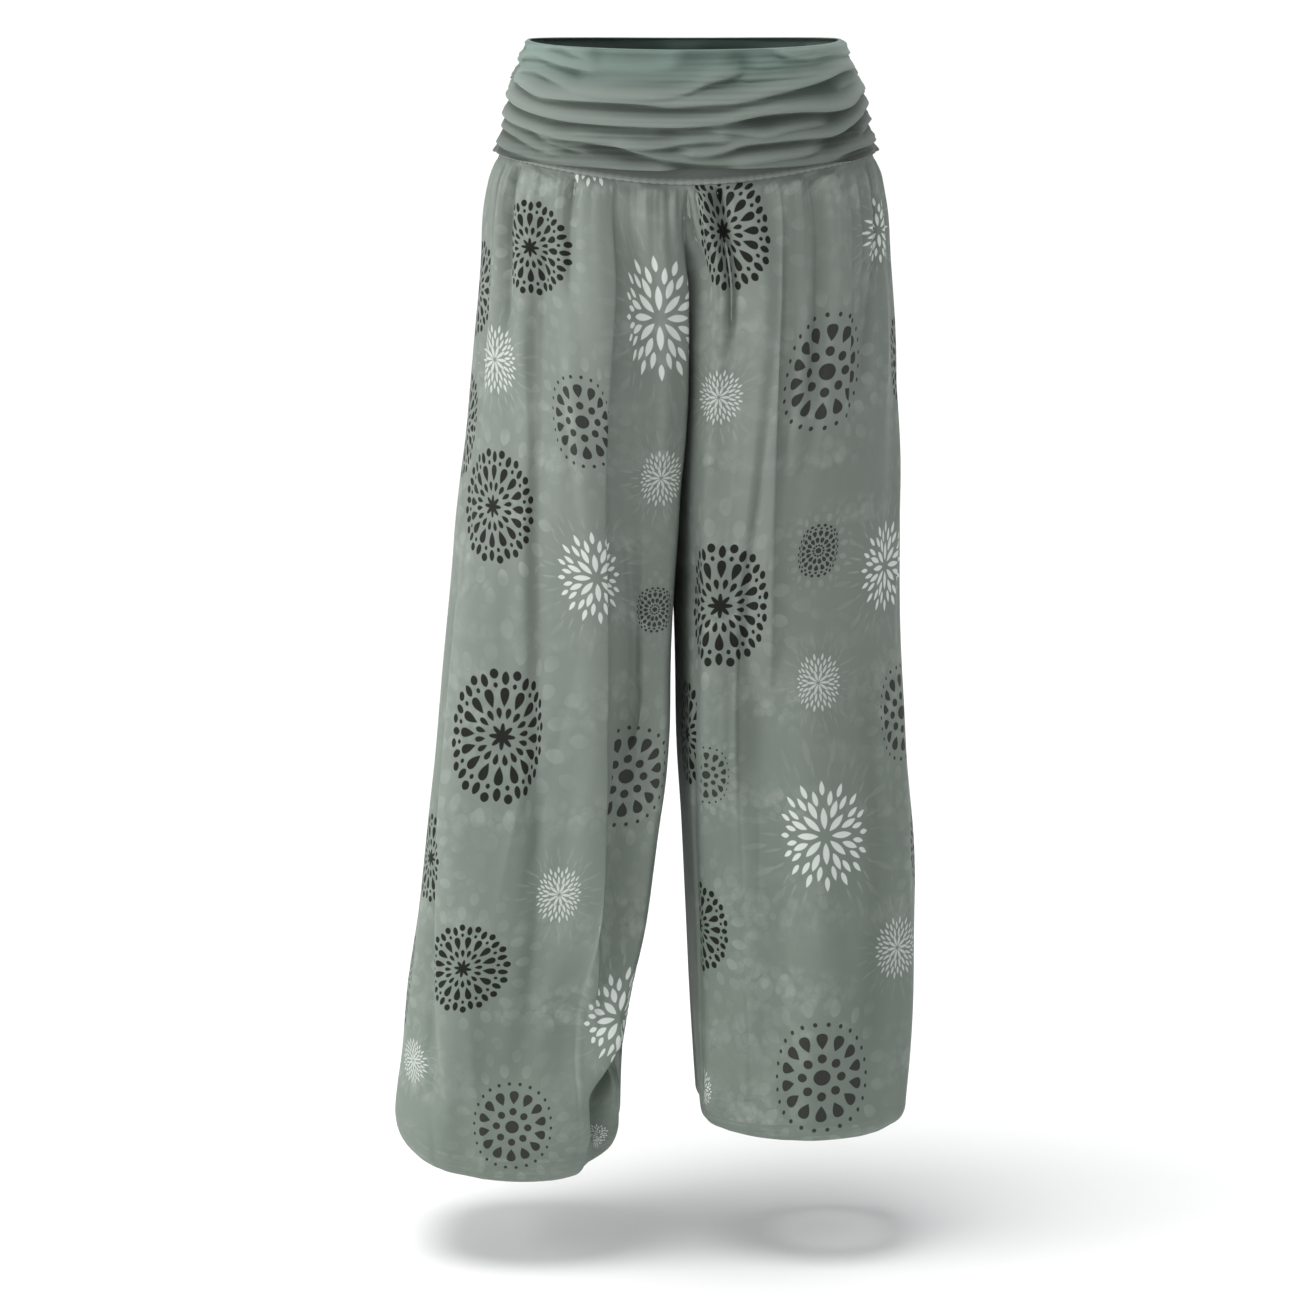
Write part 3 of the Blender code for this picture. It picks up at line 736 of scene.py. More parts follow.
@dataclass(frozen=True)
class PrintedViscose:
    """Thin plain-weave viscose, dyed grey green and printed with rosettes."""

    ground: Triple = (0.200, 0.228, 0.202)
    shade: Triple = (0.168, 0.192, 0.169)
    ghost: Triple = (0.278, 0.310, 0.278)
    night: Triple = (0.011, 0.012, 0.009)
    grey: Triple = (0.036, 0.038, 0.033)
    white: Triple = (0.61, 0.65, 0.61)
    chalk: Triple = (0.48, 0.51, 0.48)
    worn_and_lit: Triple = (0.285, 0.318, 0.288)
    roughness: float = 0.62
    sheen: float = 0.03
    specular: float = 0.10

    def rings(self, graph: Graph, rings: tuple[Ring, ...], radius: Value, angle: Value) -> Value:
        """Print rings of petals round a motif's centre.

        Args:
            graph: the finish being made.
            rings: the rings.
            radius: the distance from the centre.
            angle: the angle round it.

        Returns:
            1 on the petals and 0 between them.
        """
        total: object = 0.0
        for ring in rings:
            peak = ring.inner / (ring.inner + ring.outer)
            most = peak**ring.inner * (1 - peak) ** ring.outer
            made = graph.nodes.new("ShaderNodeGroup")
            made.node_tree = petal_group()
            turns, stretch = ring.count / (2 * math.pi), 1 / (ring.end - ring.start)
            sizes = (turns, ring.offset + 0.5, 1 / turns, ring.start, stretch, ring.width / most)
            given = (radius, angle, *sizes, ring.inner, ring.outer, PETAL_EDGE)
            for socket, value in zip(made.inputs, given):
                feed(socket, value)
            total = Value(made.outputs["Print"]).work("MAXIMUM", total)
        return total

    def make(self, kind: Rosette | None) -> Material:
        """Dye the cloth.

        Args:
            kind: the rosette printed on it, or None for the ground between rosettes.

        Returns:
            The finish.
        """
        name = f"print_viscose_{kind.name.lower()}" if kind else "print_viscose_ground"
        graph = Graph(name, self.roughness, self.sheen, self.specular)
        cloth, motif, wear_and_shade = graph.named("cloth"), graph.named("motif"), graph.named("wear_and_shade", "Fac")
        across, up, pale = graph.parts(motif)
        radius = graph.vector("LENGTH", graph.vector("MULTIPLY", motif, (1.0, 1.0, 0.0)))
        angle = up.work("ARCTAN2", across)
        yarn = self.yarn(graph, cloth)
        tone = (graph.noise(cloth, 9.0, 4.0, (1.0, 0.45, 1.0)) * 0.9 + yarn * 0.55 - 0.25).held()
        colour = graph.mix(tone, self.shade, self.ground)
        greener = (graph.parts(cloth)[2] - 0.9).held() * 0.55
        colour = graph.tint(greener, colour, (0.89, 0.985, 0.92))
        colour = graph.mix(self.discs(graph, cloth), colour, self.ghost)
        # Paler on the crests: partly wear, partly painted highlight.
        colour = graph.mix(((wear_and_shade - 0.60).held() * 0.45).held(), colour, self.worn_and_lit)
        if kind is None:
            petals = self.rings(graph, HALO, radius, angle) * (1.0 - pale)
            around = petals + self.rings(graph, RAYS, radius, angle) * pale
            fade = (2.05 - radius).held() * 0.85
            patchy = (graph.noise(cloth, 16.0, 2.0) - 0.28).held() * 2.2
            colour = graph.mix((around * fade * patchy).held(), colour, self.ghost)
        else:
            ink = {Rosette.NIGHT: self.night, Rosette.PALE: self.white, Rosette.DENSE_PALE: self.chalk}
            petals = self.rings(graph, ROSETTES[kind], radius, angle)
            colour = graph.mix((petals * (yarn * 0.10 + 0.94)).held(), colour, ink.get(kind, self.grey))
        # Painted shade: darker in the hollows of folds, gathers and pleats.
        colour = graph.tint(((0.42 - wear_and_shade).held() * 1.5).held(), colour, (0.66, 0.67, 0.66))
        feed(graph.shader["Roughness"], yarn * 0.18 + (self.roughness - 0.10))
        return graph.finish(colour, self.weave(graph, cloth, yarn), 0.00012, 0.55)

    def yarn(self, graph: Graph, cloth: Value) -> Value:
        """Unevenness of the yarns, along and across the cloth."""
        slub = graph.noise(cloth, 1.0, 2.0, (900.0, 45.0, 1.0))
        return slub * 0.6 + graph.noise(cloth, 1.0, 2.0, (50.0, 800.0, 1.0)) * 0.4

    def discs(self, graph: Graph, cloth: Value) -> Value:
        """How much paler the cloth is in faint overlapping discs, which lie in drifts under the rosettes."""
        drift = ((graph.noise(cloth, 11.0, 2.0) - 0.46).held() * 4.2).held()
        place = graph.vector("MULTIPLY", cloth, (1.25, 1.0, 1.0))
        total: object = 0.0
        for scale, size, shift in ((34.0, 0.40, 0.0), (52.0, 0.36, 3.7), (80.0, 0.34, 8.1)):
            away = graph.cells(graph.vector("ADD", place, (shift, shift, 0.0)), scale)
            total = ((size - away) * 18.0).held() * 0.27 + total
        return total * drift

    def weave(self, graph: Graph, cloth: Value, yarn: Value) -> Value:
        """Relief of a plain weave with uneven yarns."""
        across, along, _ = graph.parts(cloth)
        warp = (across * (2 * math.pi / 0.0009)).work("SINE")
        weft = (along * (2 * math.pi / 0.0010)).work("SINE")
        return warp * weft * 0.35 + yarn * 1.2


@dataclass(frozen=True)
class Reverse:
    """The inside of the print cloth, where the rosettes strike through faintly."""

    colour: Triple = (0.33, 0.37, 0.33)
    shade: Triple = (0.26, 0.30, 0.265)

    def make(self) -> Material:
        """Dye it.

        Returns:
            The finish.
        """
        graph = Graph("print_viscose_reverse", 0.88, 0.1)
        cloth = graph.named("cloth")
        yarn = graph.noise(cloth, 1.0, 2.0, (500.0, 60.0, 1.0))
        spot = ((0.42 - graph.cells(cloth, 24.0)) * 3.0).held()
        tone = graph.mix(spot * 0.5, self.colour, self.shade)
        return graph.finish(graph.mix(yarn * 0.5, tone, self.shade), yarn, 0.0001, 0.5)


@dataclass(frozen=True)
class Jersey:
    """Fine single jersey with a soft hand, a little brighter and bluer towards its top, where it turns over:
    a bluer tint of its own, with painted light on the upturned edge.
    """

    name: str
    colour: Triple
    shade: Triple
    top: Triple
    worn_and_lit: Triple

    def make(self) -> Material:
        """Dye it.

        Returns:
            The finish.
        """
        graph = Graph(self.name, 0.72, 0.10, 0.20)
        cloth, wear_and_shade = graph.named("cloth"), graph.named("wear_and_shade", "Fac")
        across, along, down = graph.parts(cloth)
        wale = (across * (2 * math.pi / 0.0011)).work("SINE")
        course = (along * (2 * math.pi / 0.0009)).work("SINE")
        slub = graph.noise(cloth, 1.0, 3.0, (60.0, 500.0, 1.0))
        blotch = graph.noise(cloth, 14.0, 4.0)
        colour = graph.mix((slub * 0.55 + blotch * 0.6 - 0.1).held(), self.shade, self.colour)
        # Brighter and bluer towards the top edge: its own tint, partly painted light.
        edge = (1.0 - (down + (blotch - 0.5) * 0.3) * 2.1).held()
        colour = graph.mix(edge * 0.9, colour, self.top)
        # Paler on the crests of the ruches: partly wear, partly painted highlight.
        colour = graph.mix(((wear_and_shade - 0.38).held() * 0.85).held(), colour, self.worn_and_lit)
        # Painted shade: darker in the hollows under the ruches and away from the yoke's welt.
        colour = graph.tint(((0.44 - wear_and_shade).held() * 2.4).held(), colour, (0.48, 0.50, 0.49))
        feed(graph.shader["Roughness"], slub * 0.18 + 0.60)
        stitch = wale.work("ABSOLUTE") + course * 0.25
        return graph.finish(colour, stitch * 0.5 + slub, 0.00016, 0.6)


@dataclass(frozen=True)
class Thread:
    """Spun sewing thread, with a twist that catches the light."""

    colour: Triple = (0.20, 0.235, 0.205)
    light: Triple = (0.34, 0.38, 0.34)

    def make(self) -> Material:
        """Dye it.

        Returns:
            The finish.
        """
        graph = Graph("sewing_thread", 0.55, 0.2)
        twist = graph.noise(graph.node("TexCoord", "Object", {}), 900.0, 2.0, (1.0, 1.0, 2.2))
        return graph.finish(graph.mix(twist, self.colour, self.light), twist, 0.0001, 0.6)


def stand(name: str, data: bpy.types.ID) -> Piece:
    """Put a mesh, a light or the camera in the scene."""
    made = bpy.data.objects.new(name, data)
    bpy.context.scene.collection.objects.link(made)
    return made


class Cloth:
    """A sheet of cloth: a fine outer face, and an inner face with a third of the rows and columns."""

    COARSE = 3

    def __init__(self, name: str, outer: Array, thickness: float, ring: bool = False) -> None:
        """Weave the sheet.

        Args:
            name: the piece's name.
            outer: points of the outer face, in rows and columns.
            thickness: distance to the inner face.
            ring: whether the last column meets the first.
        """
        self.name, self.outer = name, outer
        self.along, self.fall = lengths(outer, 1), lengths(outer, 0)
        closed = np.concatenate([outer[:, -2:-1], outer, outer[:, 1:2]], axis=1) if ring else outer
        self.normal = unit(np.cross(np.gradient(closed, axis=0), np.gradient(closed, axis=1)))
        if ring:
            self.normal = self.normal[:, 1:-1]
        middle = outer.reshape(-1, 3).mean(axis=0)
        if ((outer - middle) * self.normal).sum() < 0:
            self.normal = -self.normal
        self.inner = (outer - thickness * self.normal)[:: self.COARSE, :: self.COARSE]
        self.flip = self.facing() < 0

    @classmethod
    def spare(cls, count: int) -> int:
        """Rows or columns to add, so that the inner face ends with the outer one."""
        return (1 - count) % cls.COARSE

    def facing(self) -> float:
        """Whether a face wound along rows and then columns looks outwards, above 0, or inwards."""
        rows, columns = self.outer.shape[0] // 2, self.outer.shape[1] // 2
        a, b = self.outer[rows, columns], self.outer[rows, columns + 1]
        return float(np.cross(b - a, self.outer[rows + 1, columns] - a).dot(self.normal[rows, columns]))

    def faces(self, rows: int, columns: int, first: int, flip: bool) -> Array:
        """Corners of every face of a grid.

        Args:
            rows: number of rows.
            columns: number of columns.
            first: number of its first point.
            flip: whether to wind the faces the other way.

        Returns:
            Four point numbers for each face.
        """
        i, j = np.meshgrid(np.arange(rows - 1), np.arange(columns - 1), indexing="ij")
        a = first + i * columns + j
        quads = np.stack([a, a + 1, a + columns + 1, a + columns], axis=-1).reshape(-1, 4)
        return quads[:, ::-1] if flip else quads

    def dress(
        self, depth: Array, wear_and_shade: Array, finishes: list[Material], motif: Array | None = None,
        slots: Array | None = None,
    ) -> Piece:
        """Make the piece, with the cloth's own places and its wear and painted shade kept on it.

        Args:
            depth: how far down the piece each point is.
            wear_and_shade: wear and painted shade at each point, from 0 in a hollow to 1 on a crest.
            finishes: the finishes, with the inner face's last.
            motif: for each corner of each outer face its place in its rosette, if it is printed.
            slots: which finish each outer face has, if not the first.

        Returns:
            The piece.
        """
        corners = {"cloth": self.corner_values(np.stack([self.along, self.fall, depth], axis=-1))}
        if motif is not None:
            corners["motif"] = motif
        corners["wear_and_shade"] = self.corner_values(np.stack([wear_and_shade] * 3, axis=-1))
        return self.build(corners, np.zeros(len(corners["cloth"]), int) if slots is None else slots, finishes)

    def build(self, corners: dict[str, Array], slots: Array, finishes: list[Material]) -> Piece:
        """Make the mesh.

        Args:
            corners: named values for each corner of the outer face's faces, three numbers each.
            slots: which finish each outer face has.
            finishes: the finishes, with the inner face's last.

        Returns:
            The piece.
        """
        rows, columns = self.outer.shape[:2]
        low_rows, low_columns = self.inner.shape[:2]
        fine = self.faces(rows, columns, 0, self.flip)
        coarse = self.faces(low_rows, low_columns, rows * columns, not self.flip)
        points = np.concatenate([self.outer.reshape(-1, 3), self.inner.reshape(-1, 3)])
        quads = np.concatenate([fine, coarse])
        mesh = bpy.data.meshes.new(self.name)
        mesh.vertices.add(len(points))
        mesh.vertices.foreach_set("co", points.astype(np.float32).ravel())
        mesh.loops.add(quads.size)
        mesh.loops.foreach_set("vertex_index", quads.astype(np.int32).ravel())
        mesh.polygons.add(len(quads))
        mesh.polygons.foreach_set("loop_start", np.arange(0, quads.size, 4, dtype=np.int32))
        mesh.polygons.foreach_set("use_smooth", np.ones(len(quads), bool))
        for finish in finishes:
            mesh.materials.append(finish)
        index = np.concatenate([slots.ravel(), np.full(len(coarse), len(finishes) - 1)])
        mesh.polygons.foreach_set("material_index", index.astype(np.int32))
        mesh.update(calc_edges=True)
        self.paint(mesh, fine, coarse, corners)
        return stand(self.name, mesh)

    def paint(self, mesh: bpy.types.Mesh, fine: Array, coarse: Array, corners: dict[str, Array]) -> None:
        """Keep the cloth's own places, its wear and its painted shade on the mesh, and lay it out flat for
        baking.

        Args:
            mesh: the mesh.
            fine: faces of the outer face.
            coarse: faces of the inner face.
            corners: values for each corner of each outer face.
        """
        rows, columns = self.outer.shape[:2]
        low_rows, low_columns = self.inner.shape[:2]
        for name, values in corners.items():
            inner = values.reshape(rows - 1, columns - 1, 4, 3)[:: self.COARSE, :: self.COARSE]
            made = mesh.attributes.new(name, "FLOAT_VECTOR", "CORNER")
            outer = values[:, ::-1] if self.flip else values
            both = np.concatenate([outer, inner.reshape(-1, 4, 3)])
            made.data.foreach_set("vector", both.astype(np.float32).ravel())
        i, j = np.divmod(fine, columns)
        k, m = np.divmod(coarse - rows * columns, low_columns)
        flat = np.stack([j / (columns - 1), 0.12 + 0.88 * (1 - i / (rows - 1))], axis=-1)
        under = np.stack([m / (low_columns - 1), 0.10 * (1 - k / (low_rows - 1))], axis=-1)
        laid = mesh.uv_layers.new(name="OFBake")
        laid.data.foreach_set("uv", np.concatenate([flat, under]).astype(np.float32).ravel())

    def corner_values(self, values: Array) -> Array:
        """Values at the points of the outer face, for each corner of each of its faces."""
        a, b = values[:-1, :-1], values[:-1, 1:]
        c, d = values[1:, 1:], values[1:, :-1]
        return np.stack([a, b, c, d], axis=2).reshape(-1, 4, values.shape[-1])


def declare(piece: Piece, node: str = "") -> Piece:
    """Fix a piece to the body, hide its solid if it has one, and log its number of faces."""
    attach(piece, "root")
    if node:
        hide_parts(node)
    log.info("%s: %d faces", piece.name, len(piece.data.polygons))
    return piece


@dataclass
class LegPanel:
    """Front or back cloth of one leg, from the yoke seam to the hem casing."""

    form: LegForm
    half: Half
    motifs: tuple[Motif, ...]
    torso_rows: int = 126
    leg_rows: int = 165
    bend_rows: int = 14
    under_rows: int = 28
    columns: int = 231

    def grid(self) -> Pair:
        """The turn and the down of every point."""
        step = 1
        torso = np.linspace(0, 1, self.torso_rows // step, endpoint=False) ** 1.12
        leg = np.linspace(1, 2, self.leg_rows // step, endpoint=False)
        bend = np.linspace(2, 3, self.bend_rows // step, endpoint=False)
        count = len(torso) + len(leg) + len(bend) + self.under_rows // step
        under = np.linspace(3, 4, self.under_rows // step + Cloth.spare(count))
        columns = self.columns // step
        first, last = (0.5, 1.0) if self.half is Half.BACK else (0.0, 0.5)
        turns = np.linspace(first, last, columns + Cloth.spare(columns))
        return np.meshgrid(turns, np.concatenate([torso, leg, bend, under]))

    def print_places(self, cloth: Cloth, turn: Array, down: Array) -> Pair:
        """Lay the rosettes on the cloth.

        Args:
            cloth: the sheet.
            turn: the turn of every point.
            down: the down of every point.

        Returns:
            For each corner its place in its rosette, and for each face the finish that it has.
        """
        columns, rows, along, fall = turn[0], down[:, 0], cloth.along, cloth.fall
        everywhere, middles = [], []
        face_turn = cloth.corner_values(turn[:, :, None]).mean(axis=(1, 2))
        for motif in self.motifs:
            i = np.interp(motif.down, rows, np.arange(len(rows)))
            j = np.interp(motif.turn, columns, np.arange(len(columns)))
            low_i, low_j = min(int(i), len(rows) - 2), min(int(j), len(columns) - 2)
            part_i, part_j = i - low_i, j - low_j
            centre = along[:, low_j] * (1 - part_j) + along[:, low_j + 1] * part_j
            level = fall[low_i] * (1 - part_i) + fall[low_i + 1] * part_i
            if motif.down < 0:
                level = fall[0] + motif.down * SEAM_LENGTH
            x = self.form.way * (along - centre[:, None]) / motif.radius
            x = np.sign(x) * drawn_in(np.abs(x), np.where(x < 0, motif.left, motif.right))
            y = (level[None, :] - fall) / motif.radius
            pale = motif.kind in (Rosette.PALE, Rosette.DENSE_PALE)
            places = cloth.corner_values(np.stack([x, y, np.full(x.shape, float(pale))], axis=-1))
            everywhere.append(places)
            away = np.hypot(places[:, :, 0].mean(axis=1), places[:, :, 1].mean(axis=1))
            folded = (face_turn < motif.first) | (face_turn > motif.last)
            middles.append(np.where(folded, away + FOLDED_UNDER, away))
        nearest = np.argmin(middles, axis=0)
        face = np.arange(len(nearest))
        inside = np.array(middles)[nearest, face] < PRINTED
        kinds = np.array([motif.kind.value for motif in self.motifs])
        return np.array(everywhere)[nearest, face], np.where(inside, kinds[nearest], 0)

    def build(self, finishes: list[Material]) -> Piece:
        """Cut, gather and print the panel.

        Args:
            finishes: the ground, one for each rosette, and the reverse.

        Returns:
            The piece.
        """
        turn, down = self.grid()
        points, height = self.form.surface(turn, down)
        cloth = Cloth(f"{self.half.value}_{self.form.name}_leg_cloth", points, WALL)
        places, slots = self.print_places(cloth, turn, down)
        # Wear and painted shade from the relief: crests worn and painted paler, hollows painted darker.
        piece = cloth.dress(down, np.clip(0.5 + height / LEG_WEAR_AND_SHADE, 0, 1), finishes, places, slots)
        return declare(piece, f"leg_{self.half.value}_{self.form.name}")


@dataclass
class Band:
    """Ruched jersey band over the front or the back of the waist."""

    half: Half
    ruches: tuple[Ruche, ...]
    right: LegForm
    left: LegForm
    columns: int = 331
    rows: int = 124
    roll_rows: int = 6
    darkest: float = 0.0  # wear-and-shade value below which a hollow's painted shade gets no darker

    def lift(self, share: Array, down: Array) -> Array:
        """How far the ruches stand out.

        Args:
            share: places across, 0 at the right seam and 1 at the left.
            down: places down the band, 0 to 1.

        Returns:
            The distance out.
        """
        total = np.zeros(share.shape)
        for ruche in self.ruches:
            places, depths = np.array(ruche.path).T
            away = (down - curve(places, depths, share)) * BAND_DEPTH
            ends = smooth((share - places[0]) / ruche.ease + 0.5)
            ends = ends * smooth((places[-1] - share) / ruche.ease + 0.5)
            shape = bell(away, np.where(away < 0, ROLL * ruche.above, ROLL * ruche.below))
            total = np.sqrt(total**2 + (ruche.lift * ends * shape) ** 2)
        side = np.minimum(share, 1 - share)
        slant = 2 * math.pi * (11 * down + 0.6 * np.sin(5 * down + 9 * (share > 0.5)))
        pucker = 0.0009 * np.sin(slant) * bell(side, 0.045, 1.5)
        ripple = 0.00045 * np.sin(2 * math.pi * (21 * down + 3.1 * share + 0.5 * np.sin(7 * share)))
        ripple = ripple * (0.5 + 0.5 * np.sin(11 * share + 5 * down)) * smooth(side / 0.02)
        rim = 0.0016 * bell(down - 0.012, 0.016)
        foot = 0.0014 * bell(1 - down, 0.035)
        knob = 0.0045 * bell(side, 0.018, 2.6) * bell(0.955 - down, 0.045, 2.6)
        return 1.12 * total * (0.06 + 0.94 * smooth(side / 0.06)) + pucker + ripple + rim + foot + knob

    def build(self, finish: Material) -> Piece:
        """Cut and ruche the band, with its top edge turned over.

        Args:
            finish: the jersey.

        Returns:
            The piece.
        """
        step = 1
        columns, rows = self.columns // step, self.rows // step
        columns += Cloth.spare(columns)
        rows += Cloth.spare(rows + self.roll_rows)
        across, down = np.meshgrid(np.linspace(-1, 1, columns), np.linspace(0, 1, rows))
        turn, share = self.half.turn(across), (across + 1) / 2
        lift = self.lift(share, down)
        top, foot = (round_seam(seam, BAND_POWER, turn) for seam in (BAND_TOP, BAND_FOOT))
        plain, out = self.wall(turn, across, top + (foot - top) * down)
        points = plain + (BAND_WALL + SEAM_GAP + lift)[..., None] * out
        points[..., 2] -= 0.35 * lift * smooth(down / 0.05)
        turned = []
        for angle in np.linspace(0.9, 0.1, self.roll_rows) * math.pi:
            rolled = SEAM_GAP + BAND_WALL / 2 * (1 + math.cos(angle)) + lift[0] * 0.5 * (1 + math.cos(angle))
            row = plain[0] + out[0] * rolled[..., None]
            row[:, 2] += BAND_WALL / 2 * math.sin(angle)
            turned.append(row)
        down = np.concatenate([np.zeros((self.roll_rows, columns)), down])
        lift = np.concatenate([np.full((self.roll_rows, columns), TURNED_LIFT), lift])
        cloth = Cloth(f"{self.half.value}_band", np.concatenate([np.array(turned), points]), BAND_WALL * 0.8)
        side = np.tile(smooth(np.minimum(share[0], 1 - share[0]) / 0.10), (len(lift), 1))
        # Wear and painted shade from the ruches' lift, held level beside the side seams.
        wear_and_shade = BAND_SEAM_WEAR_AND_SHADE + (np.clip(lift / BAND_WEAR_AND_SHADE, self.darkest, 1) - BAND_SEAM_WEAR_AND_SHADE) * side
        return declare(cloth.dress(down, wear_and_shade, [finish, finish]), f"band_{self.half.value}")

    def wall(self, turn: Array, across: Array, z: Array) -> Pair:
        """Points on the plain body and the way out of it.

        Args:
            turn: places round the body.
            across: places across, below 0 on the right.
            z: heights.

        Returns:
            The points and the directions.
        """
        places, ways = np.zeros(z.shape + (3,)), np.zeros(z.shape + (3,))
        for form, here in ((self.right, across < 0), (self.left, across >= 0)):
            x, y = form.plain(turn, z)
            out_x, out_y = form.outward(turn, z)
            out_x = np.where((turn == 0) | (turn == 1), 0.0, out_x)
            out_y = np.where(turn == 0.5, 0.0, out_y)
            length = np.hypot(out_x, out_y)
            places[here] = np.stack([x, y, z], axis=-1)[here]
            ways[here] = np.stack([out_x / length, out_y / length, 0 * z], axis=-1)[here]
        return places, ways


@dataclass
class Yoke:
    """Plain strip between the band and the gathered legs, with its topstitched seam."""

    half: Half
    band: Band
    columns: int = 301
    rows: int = 22

    def build(self, finish: Material) -> Piece:
        """Cut the strip.

        Args:
            finish: the jersey.

        Returns:
            The piece.
        """
        across, down = np.meshgrid(np.linspace(-1, 1, self.columns), np.linspace(0, 1, self.rows))
        turn = self.half.turn(across)
        top = round_seam(BAND_FOOT, BAND_POWER, turn) + YOKE_TUCK
        foot = round_seam(YOKE_FOOT, YOKE_POWER, turn)
        z = top + (foot - top) * down
        plain, out = self.band.wall(turn, across, z)
        above = z - foot
        welt = 0.0007 * bell(above - 0.0022, 0.0022) + 0.0002 * wave(70, across) * bell(above, 0.004)
        cloth = Cloth(f"{self.half.value}_yoke", plain + welt[..., None] * out, YOKE_WALL)
        # Away from the welt the wear-and-shade value is 0, so painted shade darkens most of the strip.
        piece = cloth.dress(np.full(z.shape, YOKE_SHADE), np.clip(welt / YOKE_WEAR_AND_SHADE, 0, 1), [finish, finish])
        return declare(piece, f"yoke_{self.half.value}")

    def stitch_line(self) -> Pair:
        """Points along the topstitching, just above the gathered seam, and the way out at each."""
        across = np.linspace(-0.995, 0.995, 1200)
        turn = self.half.turn(across)
        plain, out = self.band.wall(turn, across, round_seam(YOKE_FOOT, YOKE_POWER, turn) + 0.0024)
        return plain + 0.0007 * out, out


@dataclass
class Casing:
    """Elastic casing round the ankle, drawn up into small pleats."""

    form: LegForm
    columns: int = 361
    rows: int = 19

    def build(self, finishes: list[Material]) -> Piece:
        """Gather the casing on its elastic.

        Args:
            finishes: the outer and the inner face's finish.

        Returns:
            The piece.
        """
        turn, down = np.meshgrid(np.linspace(0, 1, self.columns), np.linspace(0, 1, self.rows))
        cloth = Cloth(f"{self.form.name}_casing", self.place(turn, down), CASING_WALL * 0.85, ring=True)
        # Pleat crests get wear and painted highlight, their hollows painted shade.
        wear_and_shade = np.clip(0.5 + 0.5 * np.sin(2 * math.pi * gather_phase(turn) * CASING_PLEATS), 0, 1)
        far = np.full(((self.rows - 1) * (self.columns - 1), 4, 3), FAR)
        return declare(cloth.dress(down, wear_and_shade, finishes, far), f"cuff_{self.form.name}")

    def place(self, turn: Array, down: Array) -> Array:
        """Points on the casing.

        Args:
            turn: places round it.
            down: places down it, 0 to 1.

        Returns:
            The points.
        """
        pleat = CASING_PLEAT * gather_ridge(gather_phase(turn) * CASING_PLEATS) * wave(1, down) ** 0.5
        x, y = self.form.round_ankle(turn, CASING_WALL - 0.0004 * np.abs(2 * down - 1) ** 3 + pleat)
        return np.stack([x, y, self.form.hem.casing_foot + CASING_HEIGHT * (1 - down)], axis=-1)

    def stitch_line(self, down: float) -> Pair:
        """Where a row of stitching runs round the casing.

        Args:
            down: how far down the casing it lies, 0 to 1.

        Returns:
            Points along the line and the way out at each.
        """
        turn = np.linspace(0, 1, 900)
        line = self.place(turn, np.full_like(turn, down))
        axis = np.array([self.form.hem.ankle_x, self.form.hem.ankle_y, 0.0])
        return line, unit((line - axis) * np.array([1.0, 1.0, 0.0]))


@dataclass
class Stitching:
    """Rows of machine stitches, each a short raised length of thread."""

    name: str
    pitch: float = 0.0031
    share: float = 0.74  # of the pitch that a stitch takes up
    radius: float = 0.00032
    sides: int = 6
    stops: tuple[Triple, ...] = (  # place along the stitch, girth and rise
        (0.0, 0.35, -0.5), (0.18, 0.9, 0.25), (0.5, 1.0, 0.5), (0.82, 0.9, 0.25), (1.0, 0.35, -0.5),
    )

    def build(self, lines: list[Pair], finish: Material) -> Piece:
        """Sew along the lines.

        Args:
            lines: points along each line and the way out at each.
            finish: the thread.

        Returns:
            The piece.
        """
        points, faces = [], []
        last = (len(self.stops) - 1) * self.sides
        for line, out in lines:
            run = lengths(line[None], 1)[0]
            for k in range(int(run[-1] / self.pitch)):
                first = len(points)
                for t, girth, rise in self.stops:
                    points += self.hoop(run, line, out, (k + t * self.share) * self.pitch, girth, rise)
                for row in range(first, first + last, self.sides):
                    for side in range(self.sides):
                        a, b = row + side, row + (side + 1) % self.sides
                        faces.append((a, b, b + self.sides, a + self.sides))
                faces.append(tuple(first + side for side in reversed(range(self.sides))))
                faces.append(tuple(first + last + side for side in range(self.sides)))
        mesh = bpy.data.meshes.new(self.name)
        mesh.from_pydata([tuple(point) for point in points], [], faces)
        mesh.materials.append(finish)
        mesh.polygons.foreach_set("use_smooth", np.ones(len(mesh.polygons), bool))
        return declare(stand(self.name, mesh))

    def hoop(self, run: Array, line: Array, out: Array, at: float, girth: float, rise: float) -> list[Array]:
        """One hoop of points round a stitch.

        Args:
            run: length of the line to each of its points.
            line: the points.
            out: the way out at each.
            at: how far along the line the hoop is.
            girth: its size, in radii of the thread.
            rise: how far it stands off the line, in radii.

        Returns:
            The points.
        """
        def read(values: Array, place: float) -> Array:
            """The values at a place along the line."""
            return np.array([np.interp(place, run, values[:, axis]) for axis in range(3)])

        centre, away = read(line, at), unit(read(out, at))
        sideways = np.cross(unit(read(line, at + PROBE) - read(line, at - PROBE)), away)
        angles = [2 * math.pi * side / self.sides for side in range(self.sides)]
        around = [math.cos(angle) * sideways + math.sin(angle) * away for angle in angles]
        return [centre + self.radius * (girth * way + rise * away) for way in around]


